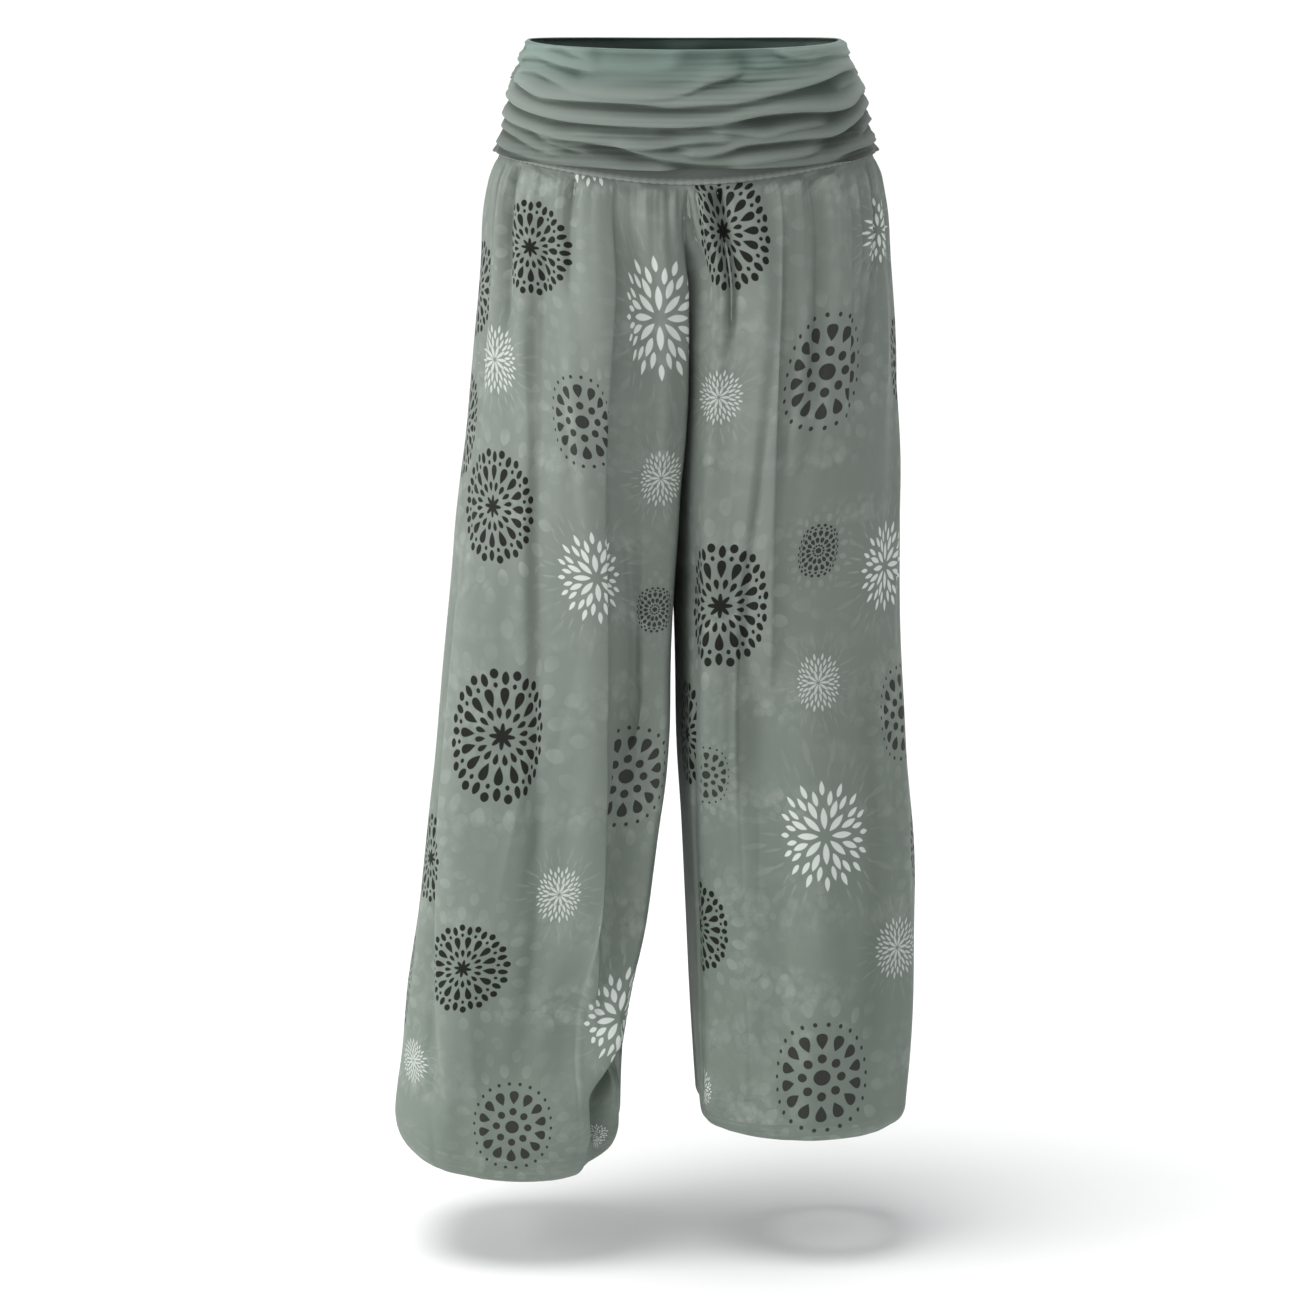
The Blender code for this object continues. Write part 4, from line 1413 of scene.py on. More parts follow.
@dataclass
class Studio:
    """Pale floor, soft lights and the camera."""

    floor_height: float = -1.118
    floor_size: float = 60.0
    eye: Triple = (-0.026, -3.6, 0.17)
    target: Triple = (-0.026, 0.0, -0.555)
    lens: float = 108.1
    softbox_place: Triple = (-2.4, -0.75, 0.05)
    softbox_aim: Triple = (0.0, 0.0, -0.5)
    softbox_power: float = 36.0
    sky: tuple[float, ...] = (0.97, 0.98, 1.0, 1.0)
    sky_strength: float = 0.48

    def build(self) -> None:
        """Set up the floor, the lights and the camera."""
        self.floor()
        self.sun("above", (-0.20, -0.12, 1.0), 2.0, 32.0, (1.0, 0.995, 0.985))
        self.sun("back", (0.5, 1.0, 0.6), 0.5, 40.0, (1.0, 1.0, 1.0))
        self.softbox()
        world = bpy.data.worlds.new("studio")
        bpy.context.scene.world = world
        world.use_nodes = True
        background = world.node_tree.nodes["Background"].inputs
        background["Color"].default_value = self.sky
        background["Strength"].default_value = self.sky_strength
        bpy.context.scene.view_settings.view_transform = "Standard"
        camera = stand("camera", bpy.data.cameras.new("camera"))
        camera.data.lens, camera.data.sensor_width, camera.data.sensor_fit = self.lens, 36.0, "HORIZONTAL"
        camera.data.clip_end = 200.0
        self.look(camera, self.eye, self.target)
        bpy.context.scene.camera = camera

    def look(self, item: Piece, place: Triple, target: Triple) -> None:
        """Put a light or the camera in its place and turn it to its target."""
        item.location = place
        item.rotation_euler = (Vector(target) - Vector(place)).to_track_quat("-Z", "Y").to_euler()

    def floor(self) -> None:
        """Lay the floor."""
        mesh = bpy.data.meshes.new("floor")
        size, height = self.floor_size, self.floor_height
        corners = [(x * size, y * size, height) for x, y in ((-1, -1), (1, -1), (1, 1), (-1, 1))]
        mesh.from_pydata(corners, [], [(0, 1, 2, 3)])
        paint = Graph("floor_paint", 0.9, 0.0)
        mottle = paint.noise(paint.node("TexCoord", "Object", {}), 3.0)
        feed(paint.shader["Base Color"], paint.mix(mottle, (0.91, 0.91, 0.91), (0.94, 0.94, 0.94)))
        mesh.materials.append(paint.material)
        stand("floor", mesh)

    def softbox(self) -> None:
        """Stand a tall soft light at the front, on the wearer's right."""
        light = bpy.data.lights.new("softbox", "AREA")
        light.shape, light.size, light.size_y, light.energy = "RECTANGLE", 1.1, 2.0, self.softbox_power
        lamp = stand("softbox", light)
        self.look(lamp, self.softbox_place, self.softbox_aim)
        lamp.visible_camera = False

    def sun(self, name: str, way: Triple, strength: float, width: float, colour: Triple) -> None:
        """Hang a wide soft light.

        Args:
            name: the light's name.
            way: where it shines from.
            strength: how bright it is.
            width: how wide it looks, in degrees.
            colour: its colour.
        """
        light = bpy.data.lights.new(name, "SUN")
        light.energy, light.angle, light.color = strength, math.radians(width), colour
        stand(name, light).rotation_euler = Vector(way).to_track_quat("Z", "Y").to_euler()


def motifs(table: dict[Rosette, tuple[tuple[float, ...], ...]]) -> tuple[Motif, ...]:
    """A print's rosettes, from rows of turn, down, radius, left, right, first and last."""
    return tuple(Motif(kind, *row) for kind, rows in table.items() for row in rows)


# Rings of petals: count, start, end, width, and if other than usual how pointed the ends are and the offset
ROSETTES = {
    Rosette.NIGHT: rows_of(
        Ring,
        (8, -0.05, 0.2, 0.046, 0.3, 0.35), (16, 0.25, 0.43, 0.05, 0.9, 0.5, 0.5),
        (16, 0.42, 0.72, 0.078, 1.0, 0.42), (16, 0.715, 0.8, 0.042, 0.5, 0.5, 0.5),
        (16, 0.755, 0.96, 0.066, 0.55, 0.6), (16, 0.85, 1.0, 0.076, 0.5, 0.5, 0.5),
    ),
    Rosette.DOTTED: rows_of(
        Ring,
        (1, -0.15, 0.15, 0.15), (8, 0.26, 0.43, 0.088), (14, 0.5, 0.8, 0.108, 1.0, 0.42, 0.5),
        (26, 0.915, 1.0, 0.046),
    ),
    Rosette.DENSE_DARK: rows_of(
        Ring,
        (1, -0.11, 0.11, 0.11), (12, 0.15, 0.24, 0.05), (14, 0.27, 0.5, 0.08, 0.9, 0.5),
        (18, 0.52, 0.75, 0.088, 0.9, 0.45, 0.5), (24, 0.78, 0.87, 0.062),
        (24, 0.88, 1.0, 0.074, 0.5, 0.5, 0.5),
    ),
    Rosette.PALE: rows_of(
        Ring,
        (8, 0.11, 0.52, 0.066, 0.9, 0.9), (8, 0.33, 0.68, 0.064, 0.8, 0.9, 0.5),
        (16, 0.54, 0.83, 0.054, 0.7, 0.9, 0.5), (16, 0.72, 1.0, 0.054, 0.7, 1.0),
    ),
    Rosette.DENSE_PALE: rows_of(
        Ring,
        (10, 0.03, 0.44, 0.052, 0.9, 0.8), (20, 0.34, 0.66, 0.046, 0.7, 0.8, 0.5),
        (20, 0.57, 0.84, 0.048, 0.7, 0.9), (20, 0.74, 1.0, 0.046, 0.6, 1.0, 0.5),
    ),
}
HALO = rows_of(  # round a dark rosette
    Ring,
    (16, 1.09, 1.4, 0.115, 0.6, 0.5, 0.5),
    (16, 1.42, 1.72, 0.115, 0.6, 0.5),
    (20, 1.74, 1.98, 0.11, 0.5, 0.5, 0.25),
)
RAYS = rows_of(  # round a pale one
    Ring,
    (26, 1.02, 1.42, 0.034, 0.8, 1.2),
    (20, 1.24, 1.76, 0.062, 0.9, 0.8, 0.5),
)
# The legs, from the waist down
RIGHT_SECTIONS = rows_of(
    Section,
    (0.022, 0.0, -0.137, -0.094, 0.0955), (0.0, 0.0, -0.1455, -0.0975, 0.1),
    (-0.041, 0.0, -0.156, -0.1055, 0.107), (-0.084, 0.0, -0.168, -0.1125, 0.114),
    (-0.1, 0.0, -0.1725, -0.1155, 0.118), (-0.115, 0.0, -0.1765, -0.1195, 0.1225),
    (-0.135, 0.0, -0.1805, -0.124, 0.129), (-0.185, -0.001, -0.185, -0.128, 0.137),
    (-0.26, -0.003, -0.193, -0.13, 0.14), (-0.335, -0.006, -0.201, -0.128, 0.134),
    (-0.41, -0.01, -0.211, -0.124, 0.123), (-0.462, -0.012, -0.2155, -0.121, 0.116),
    (-0.56, -0.0135, -0.2255, -0.117, 0.108), (-0.634, -0.016, -0.233, -0.114, 0.103),
    (-0.71, -0.025, -0.242, -0.112, 0.101), (-0.79, -0.0355, -0.251, -0.112, 0.101),
    (-0.866, -0.0515, -0.262, -0.113, 0.102), (-0.925, -0.06, -0.2675, -0.114, 0.103),
    (-0.98, -0.0625, -0.275, -0.114, 0.103), (-1.035, -0.062, -0.274, -0.112, 0.102),
)
LEFT_SECTIONS = rows_of(
    Section,
    (0.022, 0.0, 0.1325, -0.094, 0.0955), (0.0, 0.0, 0.1415, -0.0975, 0.1),
    (-0.041, 0.0, 0.1565, -0.1055, 0.107), (-0.084, 0.0, 0.1675, -0.1125, 0.114),
    (-0.1, 0.0, 0.172, -0.1155, 0.118), (-0.115, 0.0, 0.176, -0.1195, 0.1225),
    (-0.135, 0.0, 0.1805, -0.124, 0.129), (-0.185, -0.001, 0.1855, -0.128, 0.137),
    (-0.26, -0.003, 0.191, -0.13, 0.14), (-0.335, -0.006, 0.1935, -0.128, 0.134),
    (-0.41, -0.01, 0.196, -0.124, 0.123), (-0.462, -0.012, 0.197, -0.121, 0.116),
    (-0.56, -0.0105, 0.2, -0.118, 0.108), (-0.634, -0.009, 0.204, -0.116, 0.103),
    (-0.71, -0.004, 0.21, -0.114, 0.101), (-0.79, 0.0, 0.213, -0.113, 0.101),
    (-0.866, 0.004, 0.214, -0.113, 0.101), (-0.925, 0.008, 0.213, -0.112, 0.1),
    (-0.965, 0.011, 0.21, -0.111, 0.099), (-1.0, 0.014, 0.207, -0.11, 0.098),
)
RIGHT_CORNERS = rows_of(
    Corner,
    (-0.11, 0.0015, -0.117), (-0.17, 0.0035, -0.122), (-0.25, 0.0045, -0.119), (-0.3, 0.004, -0.116),
    (-0.34, 0.0015, -0.114), (-0.38, -0.003, -0.112), (-0.42, -0.0055, -0.111), (-0.46, -0.0085, -0.109),
    (-0.5, -0.0115, -0.107), (-0.54, -0.014, -0.109), (-0.6, -0.0145, -0.109), (-0.66, -0.019, -0.107),
    (-0.7, -0.025, -0.105), (-0.735, -0.029, -0.103), (-0.8, -0.037, -0.101), (-0.87, -0.053, -0.103),
    (-0.9, -0.0575, -0.099), (-0.94, -0.0595, -0.088), (-1.0, -0.061, -0.084),
)
LEFT_CORNERS = rows_of(
    Corner,
    (-0.11, 0.017, -0.118), (-0.17, 0.022, -0.126), (-0.25, 0.021, -0.133), (-0.3, 0.018, -0.133),
    (-0.36, 0.0155, -0.131), (-0.42, 0.0135, -0.127), (-0.48, 0.013, -0.126), (-0.54, 0.013, -0.121),
    (-0.6, 0.012, -0.117), (-0.66, 0.011, -0.101), (-0.7, 0.0115, -0.093), (-0.75, 0.0135, -0.087),
    (-0.8, 0.0155, -0.085), (-0.92, 0.017, -0.09), (-1.0, 0.019, -0.103),
)
RIGHT_FOLDS = rows_of(
    Fold,
    (
        (
            (-0.07, 0.12), (-0.2, 0.131), (-0.38, 0.175), (-0.57, 0.191), (-0.71, 0.176), (-0.8, 0.15),
            (-0.85, 0.122), (-0.9, 0.1),
        ),
        0.01, 0.007, 0.055, -0.55, 2.0, 0.16,
    ),
    (
        (
            (-0.09, 0.118), (-0.2, 0.13), (-0.38, 0.174), (-0.57, 0.19), (-0.71, 0.175), (-0.8, 0.151),
            (-0.95, 0.12),
        ),
        0.006, 0.05, 0.08, 0.0, 2.0, 0.2,
    ),
    (((-0.54, 0.15), (-0.71, 0.14), (-0.8, 0.115), (-0.88, 0.095)), -0.0065, 0.075, 0.028, 0.0, 2.0, 0.2),
    (((-0.06, 0.056), (-0.2, 0.058), (-0.38, 0.066)), 0.0065, 0.018, 0.016),
    (((-0.06, 0.088), (-0.3, 0.098)), -0.004, 0.012, 0.012, 0.0, 1.5),
    (((-0.06, 0.183), (-0.22, 0.19)), -0.0035, 0.008, 0.008, 0.0, 1.5),
    (
        (
            (-0.08, 0.215), (-0.123, 0.225), (-0.3, 0.25), (-0.44, 0.27), (-0.61, 0.27), (-0.76, 0.248),
            (-0.9, 0.235),
        ),
        -0.0045, 0.011, 0.016, 0.0, 1.8, 0.14,
    ),
    (((-0.18, 0.255), (-0.26, 0.272), (-0.33, 0.275), (-0.45, 0.288), (-0.6, 0.288)), 0.004, 0.01, 0.02),
    (((-0.06, 0.262), (-0.3, 0.285)), 0.0045, 0.016, 0.02),
    (((-0.06, 0.312), (-0.26, 0.318)), -0.0042, 0.01, 0.01, 0.0, 1.5),
    (((-0.06, 0.345), (-0.34, 0.36)), 0.0045, 0.018, 0.016),
    (
        (
            (-0.42, 0.4), (-0.52, 0.392), (-0.68, 0.388), (-0.8, 0.366), (-0.876, 0.344), (-0.93, 0.328),
            (-0.99, 0.32),
        ),
        0.008, 0.045, 0.016, 0.4, 2.0, 0.15,
    ),
    (
        (
            (-0.42, 0.432), (-0.68, 0.422), (-0.8, 0.4), (-0.876, 0.378), (-0.99, 0.352),
        ),
        -0.005, 0.014, 0.02,
    ),
    (
        (
            (-0.862, 0.046), (-0.88, 0.048), (-0.897, 0.056), (-0.92, 0.084), (-0.946, 0.13), (-0.965, 0.134),
            (-1.02, 0.14),
        ),
        0.012, 0.01, 0.09, -0.5, 2.0, 0.24,
    ),
    (((-0.9, 0.016), (-0.92, 0.042), (-0.95, 0.08), (-1.01, 0.09)), -0.019, 0.036, 0.026, 0.0, 2.0, 0.3),
    (((-0.56, 0.225), (-0.8, 0.235), (-1.0, 0.255)), -0.0035, 0.04, 0.04),
    (((-0.12, 0.915), (-0.4, 0.895), (-0.62, 0.885), (-0.86, 0.868)), 0.0085, 0.03, 0.045, 0.4),
    (((-0.08, 0.855), (-0.36, 0.84), (-0.66, 0.822)), -0.0075, 0.016, 0.013, 0.0, 1.5, 0.12),
    (((-0.22, 0.765), (-0.5, 0.785), (-0.78, 0.8), (-0.97, 0.795)), 0.0075, 0.04, 0.022, 0.4),
    (((-0.08, 0.69), (-0.3, 0.697), (-0.58, 0.716)), -0.007, 0.014, 0.017, 0.0, 1.5, 0.12),
    (((-0.16, 0.642), (-0.44, 0.635), (-0.72, 0.618)), 0.0065, 0.024, 0.03, -0.3),
    (((-0.07, 0.735), (-0.26, 0.742)), 0.0045, 0.014, 0.016),
    (((-0.07, 0.805), (-0.24, 0.8)), 0.004, 0.013, 0.014),
    (((-0.07, 0.59), (-0.3, 0.584)), -0.004, 0.012, 0.012, 0.0, 1.5),
    (((-0.52, 0.717), (-0.8, 0.705), (-1.02, 0.69)), -0.005, 0.026, 0.028),
    (((-0.6, 0.602), (-0.82, 0.585), (-1.02, 0.57)), 0.0055, 0.024, 0.018, -0.3),
    (((-0.7, 0.93), (-0.86, 0.9), (-1.03, 0.858)), 0.01, 0.04, 0.02, 0.4),
)
LEFT_FOLDS = rows_of(
    Fold,
    (((-0.07, 0.048), (-0.15, 0.053), (-0.21, 0.056), (-0.26, 0.058)), -0.0072, 0.008, 0.009, 0.0, 1.7, 0.22),
    (((-0.07, 0.098), (-0.25, 0.105), (-0.46, 0.125)), 0.006, 0.036, 0.022, 0.3),
    (
        (
            (-0.08, 0.144), (-0.21, 0.141), (-0.256, 0.147), (-0.3, 0.16), (-0.39, 0.19), (-0.48, 0.212),
            (-0.58, 0.22),
        ),
        0.0068, 0.05, 0.007, 0.5, 2.0, 0.16,
    ),
    (((-0.06, 0.178), (-0.38, 0.212)), 0.005, 0.014, 0.018),
    (((-0.06, 0.203), (-0.32, 0.222)), -0.0055, 0.011, 0.012, 0.0, 1.5),
    (((-0.06, 0.234), (-0.36, 0.248)), 0.006, 0.016, 0.016),
    (((-0.08, 0.271), (-0.21, 0.268), (-0.3, 0.28), (-0.36, 0.29)), 0.005, 0.026, 0.007, 0.4),
    (((-0.09, 0.365), (-0.126, 0.363), (-0.24, 0.328), (-0.3, 0.32)), -0.005, 0.014, 0.014, 0.0, 1.5),
    (((-0.52, 0.196), (-0.78, 0.2), (-0.97, 0.184)), -0.0042, 0.03, 0.03),
    (((-0.46, 0.276), (-0.78, 0.276), (-0.97, 0.264)), 0.0048, 0.036, 0.036),
    (((-0.48, 0.364), (-0.78, 0.362), (-0.97, 0.348)), -0.0042, 0.028, 0.028),
    (((-0.5, 0.43), (-0.72, 0.425), (-0.96, 0.415)), 0.0042, 0.026, 0.022),
    (((-0.12, 0.915), (-0.4, 0.9), (-0.62, 0.89), (-0.82, 0.884)), 0.008, 0.028, 0.045, 0.4),
    (((-0.08, 0.848), (-0.36, 0.84), (-0.62, 0.834)), -0.0075, 0.014, 0.014, 0.0, 1.5, 0.12),
    (((-0.2, 0.788), (-0.56, 0.776), (-0.92, 0.764)), 0.007, 0.034, 0.024, 0.4),
    (((-0.08, 0.712), (-0.32, 0.7), (-0.54, 0.69)), -0.0068, 0.016, 0.014, 0.0, 1.5, 0.12),
    (((-0.14, 0.658), (-0.44, 0.642), (-0.76, 0.628)), 0.0066, 0.022, 0.03, -0.3),
    (((-0.07, 0.75), (-0.28, 0.744)), 0.0046, 0.014, 0.014),
    (((-0.07, 0.6), (-0.28, 0.606)), -0.0042, 0.012, 0.012, 0.0, 1.5),
    (((-0.52, 0.7), (-0.76, 0.712), (-0.99, 0.726)), -0.0048, 0.028, 0.03),
    (((-0.6, 0.59), (-0.8, 0.595), (-0.99, 0.6)), 0.0048, 0.022, 0.02),
    (((-0.66, 0.898), (-0.84, 0.912), (-1.0, 0.926)), 0.0075, 0.028, 0.03),
)
RIGHT_HEM = Hem(-1.0175, 0.0175, 0.19, 0.034, -0.18, 0.012, 0.048, -1.01)
LEFT_HEM = Hem(-0.9905, 0.0045, 0.25, 0.022, 0.124, 0.012, 0.048, -0.987)
# The print: turn, down, radius, and if other than usual its reach to either side and its first and last turn
RIGHT_FRONT_PRINT = motifs(
    {
        Rosette.NIGHT: (
            (0.258, 0.19, 0.0425, 0.87, 1.12), (0.34, 0.82, 0.052, 0.92, 0.86),
            (0.315, 1.27, 0.064, 0.8, 0.58), (0.327, 1.68, 0.042, 0.92, 1.05),
            (0.45, 0.32, 0.0445, 0.6, 0.9), (0.445, 0.65, 0.0485, 0.84, 0.62),
            (0.43, 1.52, 0.041, 1.0, 0.95), (0.472, 1.76, 0.044, 0.8, 0.6),
        ),
        Rosette.PALE: (
            (0.16, -0.07, 0.037, 0.9, 0.78), (0.066, 0.33, 0.0565, 0.53, 0.95),
            (0.197, 0.98, 0.044, 0.82, 0.78), (0.043, 1.77, 0.049, 0.72, 1.1),
            (0.08, 2.01, 0.013, 1.0, 1.0),
        ),
        Rosette.DENSE_PALE: (
            (0.34, 0.47, 0.032, 1.3, 1.0), (0.406, 1.88, 0.0215, 1.8, 1.45),
            (0.062, 0.735, 0.027, 0.7, 0.77), (0.22, 1.54, 0.028, 0.79, 0.74),
        ),
        Rosette.DOTTED: (
            (0.19, 0.59, 0.042, 0.72, 0.62), (0.128, 1.34, 0.048, 0.74, 0.76, 0.0, 0.164),
            (0.24, 1.95, 0.0425, 0.86, 0.87),
        ),
        Rosette.DENSE_DARK: (
            (0.067, 1.05, 0.0215, 0.82, 0.74),
        ),
    }
)
LEFT_FRONT_PRINT = motifs(
    {
        Rosette.NIGHT: (
            (0.053, 0.115, 0.053, 0.52, 0.9), (0.072, 1.04, 0.058, 0.66, 0.8),
            (0.018, 1.65, 0.044, 0.8, 0.85, 0.02), (0.01, 1.29, 0.05, 0.8, 0.8, 0.0, 0.02),
            (0.475, 0.5, 0.048), (0.485, 1.52, 0.046),
        ),
        Rosette.PALE: (
            (0.37, 0.17, 0.03, 1.2, 1.3), (0.395, 0.98, 0.0425, 0.88, 1.2),
            (0.285, 1.46, 0.053, 0.78, 0.86), (0.022, 1.955, 0.02, 0.8, 0.62, 0.022),
        ),
        Rosette.DENSE_PALE: (
            (0.042, 0.525, 0.0255, 1.05, 0.89), (0.285, 1.18, 0.028, 0.7, 0.78),
            (0.395, 1.69, 0.0305, 0.86, 1.0),
        ),
        Rosette.DOTTED: (
            (0.24, 0.48, 0.0535, 0.79, 0.83), (0.041, 1.355, 0.029, 0.92, 0.74, 0.028),
            (0.425, 1.26, 0.045, 0.7, 1.0), (0.273, 1.91, 0.0545, 0.79, 0.83),
        ),
        Rosette.DENSE_DARK: (
            (0.273, 0.92, 0.025, 0.73, 0.74),
        ),
    }
)
RIGHT_BACK_PRINT = motifs(
    {
        Rosette.NIGHT: (
            (0.585, 0.36, 0.05), (0.78, 0.72, 0.058), (0.57, 1.3, 0.056), (0.745, 1.66, 0.05),
            (0.945, 1.86, 0.044),
        ),
        Rosette.DOTTED: (
            (0.7, 0.18, 0.048), (0.56, 0.86, 0.05), (0.79, 1.28, 0.052), (0.65, 1.93, 0.044),
        ),
        Rosette.PALE: (
            (0.835, 0.3, 0.052), (0.665, 1.04, 0.05), (0.89, 1.38, 0.046), (0.585, 1.66, 0.05),
            (0.82, 1.94, 0.042),
        ),
        Rosette.DENSE_DARK: (
            (0.93, 0.13, 0.026), (0.84, 1.01, 0.026), (0.88, 1.64, 0.026),
        ),
        Rosette.DENSE_PALE: (
            (0.66, 0.56, 0.029), (0.905, 0.6, 0.029), (0.69, 1.42, 0.028),
        ),
    }
)
LEFT_BACK_PRINT = motifs(
    {
        Rosette.PALE: (
            (0.575, 0.21, 0.048), (0.79, 0.62, 0.052), (0.66, 1.29, 0.052), (0.91, 1.56, 0.045),
            (0.66, 1.96, 0.042),
        ),
        Rosette.NIGHT: (
            (0.69, 0.33, 0.054), (0.9, 0.8, 0.056), (0.57, 1.08, 0.054), (0.79, 1.48, 0.056),
            (0.85, 1.88, 0.048),
        ),
        Rosette.DENSE_PALE: (
            (0.8, 0.15, 0.029), (0.72, 1.02, 0.028), (0.57, 1.44, 0.028), (0.74, 1.76, 0.029),
        ),
        Rosette.DOTTED: (
            (0.885, 0.33, 0.05), (0.64, 0.8, 0.052), (0.83, 1.13, 0.05), (0.61, 1.7, 0.05),
        ),
        Rosette.DENSE_DARK: (
            (0.58, 0.56, 0.026), (0.93, 1.2, 0.025),
        ),
    }
)
FRONT_RUCHES = rows_of(
    Ruche,
    (((0.2, -0.01), (0.25, -0.01), (0.29, 0.04), (0.32, 0.08)), 0.0045, 0.006),
    (((0.09, 0.1), (0.2, 0.08), (0.25, 0.12), (0.3, 0.15), (0.34, 0.18)), 0.0055, 0.006),
    (
        (
            (0.11, 0.22), (0.2, 0.215), (0.26, 0.285), (0.3, 0.34), (0.34, 0.365), (0.42, 0.375),
            (0.505, 0.32), (0.54, 0.25), (0.6, 0.18),
        ),
        0.0055, 0.007, 0.0026,
    ),
    (
        (
            (0.09, 0.27), (0.17, 0.35), (0.22, 0.4), (0.27, 0.41), (0.34, 0.41), (0.42, 0.42), (0.47, 0.44),
            (0.52, 0.43), (0.6, 0.4), (0.65, 0.35), (0.71, 0.3), (0.77, 0.25), (0.82, 0.205), (0.93, 0.19),
        ),
        0.008, 0.009, 0.0028,
    ),
    (
        (
            (0.05, 0.42), (0.16, 0.51), (0.22, 0.55), (0.27, 0.58), (0.35, 0.6), (0.42, 0.61), (0.49, 0.61),
            (0.56, 0.58), (0.63, 0.52), (0.7, 0.505), (0.77, 0.52), (0.82, 0.5), (0.88, 0.42), (0.96, 0.37),
        ),
        0.0085, 0.009, 0.0028,
    ),
    (((0.3, 0.7), (0.38, 0.705), (0.46, 0.7)), 0.004, 0.005, 0.0022),
    (
        (
            (0.01, 0.59), (0.11, 0.64), (0.2, 0.69), (0.24, 0.715), (0.28, 0.745), (0.32, 0.76), (0.39, 0.79),
            (0.46, 0.79), (0.505, 0.75), (0.58, 0.73),
        ),
        0.007, 0.008, 0.0026,
    ),
    (((0.22, 0.71), (0.25, 0.77), (0.28, 0.815), (0.305, 0.84), (0.34, 0.88)), 0.0045, 0.006, 0.0024),
    (
        (
            (0.03, 0.87), (0.09, 0.89), (0.19, 0.92), (0.25, 0.95), (0.36, 0.97), (0.42, 0.99), (0.48, 1.0),
        ),
        0.005, 0.007,
    ),
    (((0.05, 0.72), (0.175, 0.785), (0.24, 0.855), (0.29, 0.9)), 0.0055, 0.007, 0.0026),
    (
        (
            (0.38, 0.78), (0.42, 0.845), (0.455, 0.89), (0.49, 0.915), (0.52, 0.93), (0.555, 0.94),
            (0.6, 0.925), (0.655, 0.9), (0.69, 0.885), (0.73, 0.85),
        ),
        0.006, 0.007, 0.0026,
    ),
    (
        (
            (0.49, 0.85), (0.54, 0.85), (0.565, 0.825), (0.59, 0.785), (0.64, 0.76), (0.695, 0.745),
            (0.77, 0.73), (0.805, 0.68), (0.84, 0.63), (0.9, 0.55), (0.97, 0.5),
        ),
        0.007, 0.008, 0.0026,
    ),
    (
        (
            (0.54, 0.65), (0.59, 0.68), (0.63, 0.705), (0.67, 0.67), (0.7, 0.65), (0.75, 0.635),
        ),
        0.0055, 0.006, 0.0024,
    ),
    (
        (
            (0.67, -0.02), (0.71, 0.04), (0.745, 0.06), (0.79, 0.045), (0.89, 0.065), (0.97, 0.08),
        ),
        0.0065, 0.007, 0.0028,
    ),
    (((0.595, 0.235), (0.64, 0.225), (0.68, 0.22), (0.72, 0.21), (0.76, 0.185)), 0.004, 0.006, 0.0024),
    (
        (
            (0.57, 0.97), (0.64, 0.965), (0.69, 0.96), (0.75, 0.94), (0.8, 0.89), (0.89, 0.865), (0.97, 0.85),
        ),
        0.0055, 0.007,
    ),
    (((0.33, 0.145), (0.38, 0.155), (0.43, 0.15), (0.49, 0.1)), 0.0035, 0.011, 0.005),
    (
        (
            (0.3, 0.26), (0.34, 0.275), (0.38, 0.265), (0.45, 0.24), (0.52, 0.21), (0.58, 0.14),
        ),
        0.0035, 0.01, 0.0045,
    ),
    (((0.62, 0.13), (0.72, 0.12), (0.8, 0.13), (0.9, 0.14)), 0.0035, 0.008, 0.004),
    (((0.8, 0.36), (0.86, 0.32), (0.96, 0.29)), 0.0045, 0.007, 0.003),
    (((0.84, 0.77), (0.9, 0.7), (0.97, 0.67)), 0.005, 0.007, 0.003),
    (((0.02, 0.12), (0.06, 0.13), (0.1, 0.16)), 0.005, 0.007, 0.003),
    (((0.01, 0.33), (0.05, 0.34), (0.1, 0.38)), 0.005, 0.007, 0.003),
)
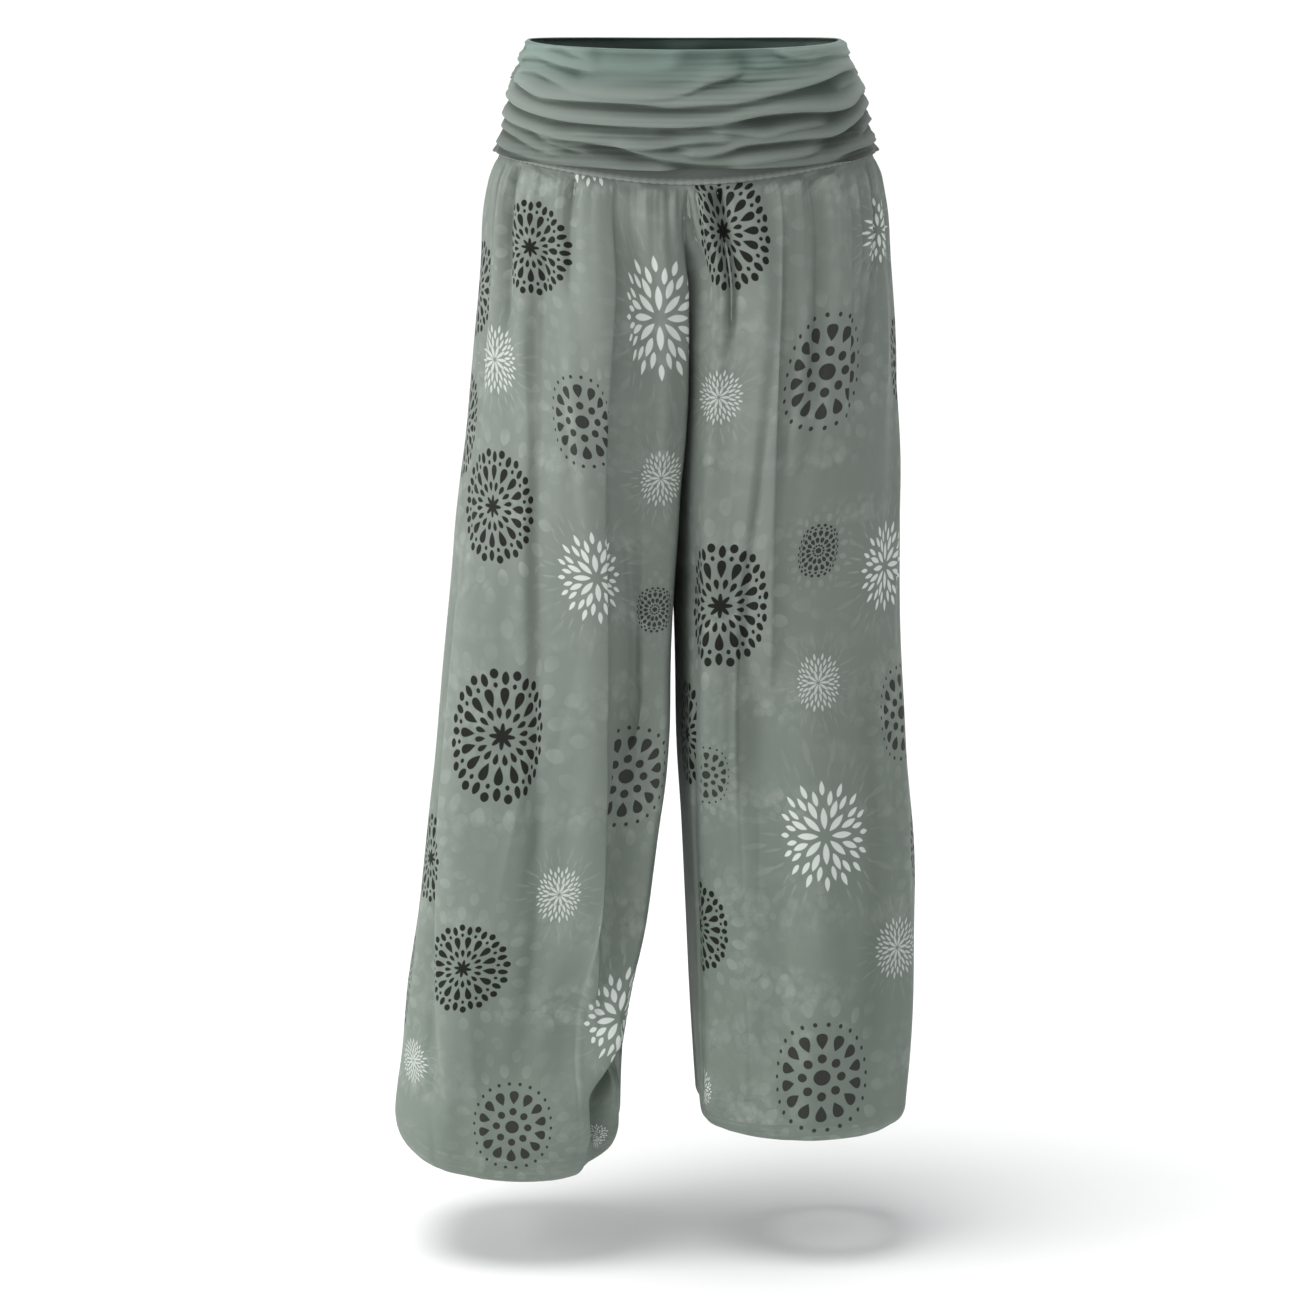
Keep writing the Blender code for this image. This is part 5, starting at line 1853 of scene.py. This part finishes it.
BACK_RUCHES = rows_of(
    Ruche,
    (((0.18, 0.02), (0.26, 0.05), (0.36, 0.11), (0.46, 0.14)), 0.0045, 0.007),
    (((0.54, 0.16), (0.64, 0.12), (0.76, 0.05), (0.9, 0.03)), 0.0055, 0.007),
    (
        (
            (0.06, 0.16), (0.18, 0.2), (0.3, 0.27), (0.42, 0.31), (0.54, 0.3), (0.62, 0.25),
        ),
        0.006, 0.008, 0.0028,
    ),
    (
        (
            (0.04, 0.3), (0.16, 0.36), (0.3, 0.42), (0.44, 0.455), (0.56, 0.45), (0.7, 0.39), (0.84, 0.31),
            (0.96, 0.27),
        ),
        0.008, 0.009, 0.0028,
    ),
    (((0.34, 0.53), (0.46, 0.555), (0.58, 0.545), (0.66, 0.51)), 0.0045, 0.006, 0.0024),
    (
        (
            (0.05, 0.45), (0.17, 0.53), (0.32, 0.61), (0.46, 0.64), (0.58, 0.625), (0.72, 0.56), (0.86, 0.48),
            (0.96, 0.44),
        ),
        0.008, 0.009, 0.0028,
    ),
    (((0.58, 0.71), (0.68, 0.68), (0.78, 0.62), (0.88, 0.57)), 0.0055, 0.007, 0.0026),
    (((0.02, 0.6), (0.14, 0.66), (0.28, 0.73), (0.4, 0.765), (0.52, 0.77)), 0.007, 0.008, 0.0026),
    (((0.44, 0.84), (0.56, 0.84), (0.68, 0.8), (0.8, 0.73), (0.95, 0.66)), 0.007, 0.008, 0.0026),
    (((0.06, 0.76), (0.18, 0.83), (0.3, 0.88), (0.42, 0.915)), 0.0055, 0.007, 0.0026),
    (((0.5, 0.945), (0.62, 0.93), (0.74, 0.885), (0.88, 0.82)), 0.0055, 0.007, 0.0026),
    (((0.04, 0.9), (0.16, 0.935), (0.3, 0.97), (0.44, 0.99)), 0.005, 0.007),
    (((0.66, 0.23), (0.74, 0.19), (0.86, 0.15), (0.96, 0.14)), 0.005, 0.007, 0.003),
)
# Jersey: its colour, its shade, its top edge, which is partly painted light, and its crests, paler with wear
# and painted highlight
BAND_COLOURS = ((0.112, 0.132, 0.114), (0.082, 0.098, 0.084), (0.180, 0.255, 0.225), (0.290, 0.335, 0.300))
# The yoke's jersey is paler than the leg cloth: painted light against the shadow that the band casts on it.
YOKE_COLOURS = ((0.270, 0.296, 0.268), (0.220, 0.242, 0.220), (0.270, 0.296, 0.268), (0.30, 0.33, 0.30))


def main() -> None:
    """Make every piece of the trousers and report it."""
    logging.basicConfig(level=logging.INFO, format="%(message)s")
    right = LegForm("right", -1, RIGHT_SECTIONS, RIGHT_CORNERS, 0.165, RIGHT_FOLDS, RIGHT_HEM)
    left = LegForm("left", 1, LEFT_SECTIONS, LEFT_CORNERS, 0.215, LEFT_FOLDS, LEFT_HEM)
    viscose, thread = PrintedViscose(), Thread().make()
    print_cloth = [viscose.make(None), *(viscose.make(kind) for kind in Rosette), Reverse().make()]
    jersey = Jersey("band_jersey", *BAND_COLOURS).make()
    strip = Jersey("yoke_jersey", *YOKE_COLOURS).make()
    yokes, lines = {}, []
    for half, ruches in ((Half.FRONT, FRONT_RUCHES), (Half.BACK, BACK_RUCHES)):
        band = Band(half, ruches, right, left, darkest=BACK_DARKEST if half is Half.BACK else 0.0)
        yoke = Yoke(half, band)
        cover, yokes[half] = band.build(jersey), yoke.build(strip)
        lines.append(yoke.stitch_line())
    Stitching("yoke_topstitching").build(lines, thread)
    prints = {
        right.name: {Half.FRONT: RIGHT_FRONT_PRINT, Half.BACK: RIGHT_BACK_PRINT},
        left.name: {Half.FRONT: LEFT_FRONT_PRINT, Half.BACK: LEFT_BACK_PRINT},
    }
    for form in (right, left):
        casing = Casing(form)
        ring = casing.build([print_cloth[0], print_cloth[-1]])
        rows = [casing.stitch_line(0.12), casing.stitch_line(0.88)]
        stitches = Stitching(f"{form.name}_casing_stitching").build(rows, thread)
        for half, flat in ((Half.FRONT, FRONT_LEG_FLAT), (Half.BACK, BACK_LEG_FLAT)):
            piece = LegPanel(form, half, prints[form.name][half]).build(print_cloth)
    Studio().build()


if __name__ == "__main__":
    main()
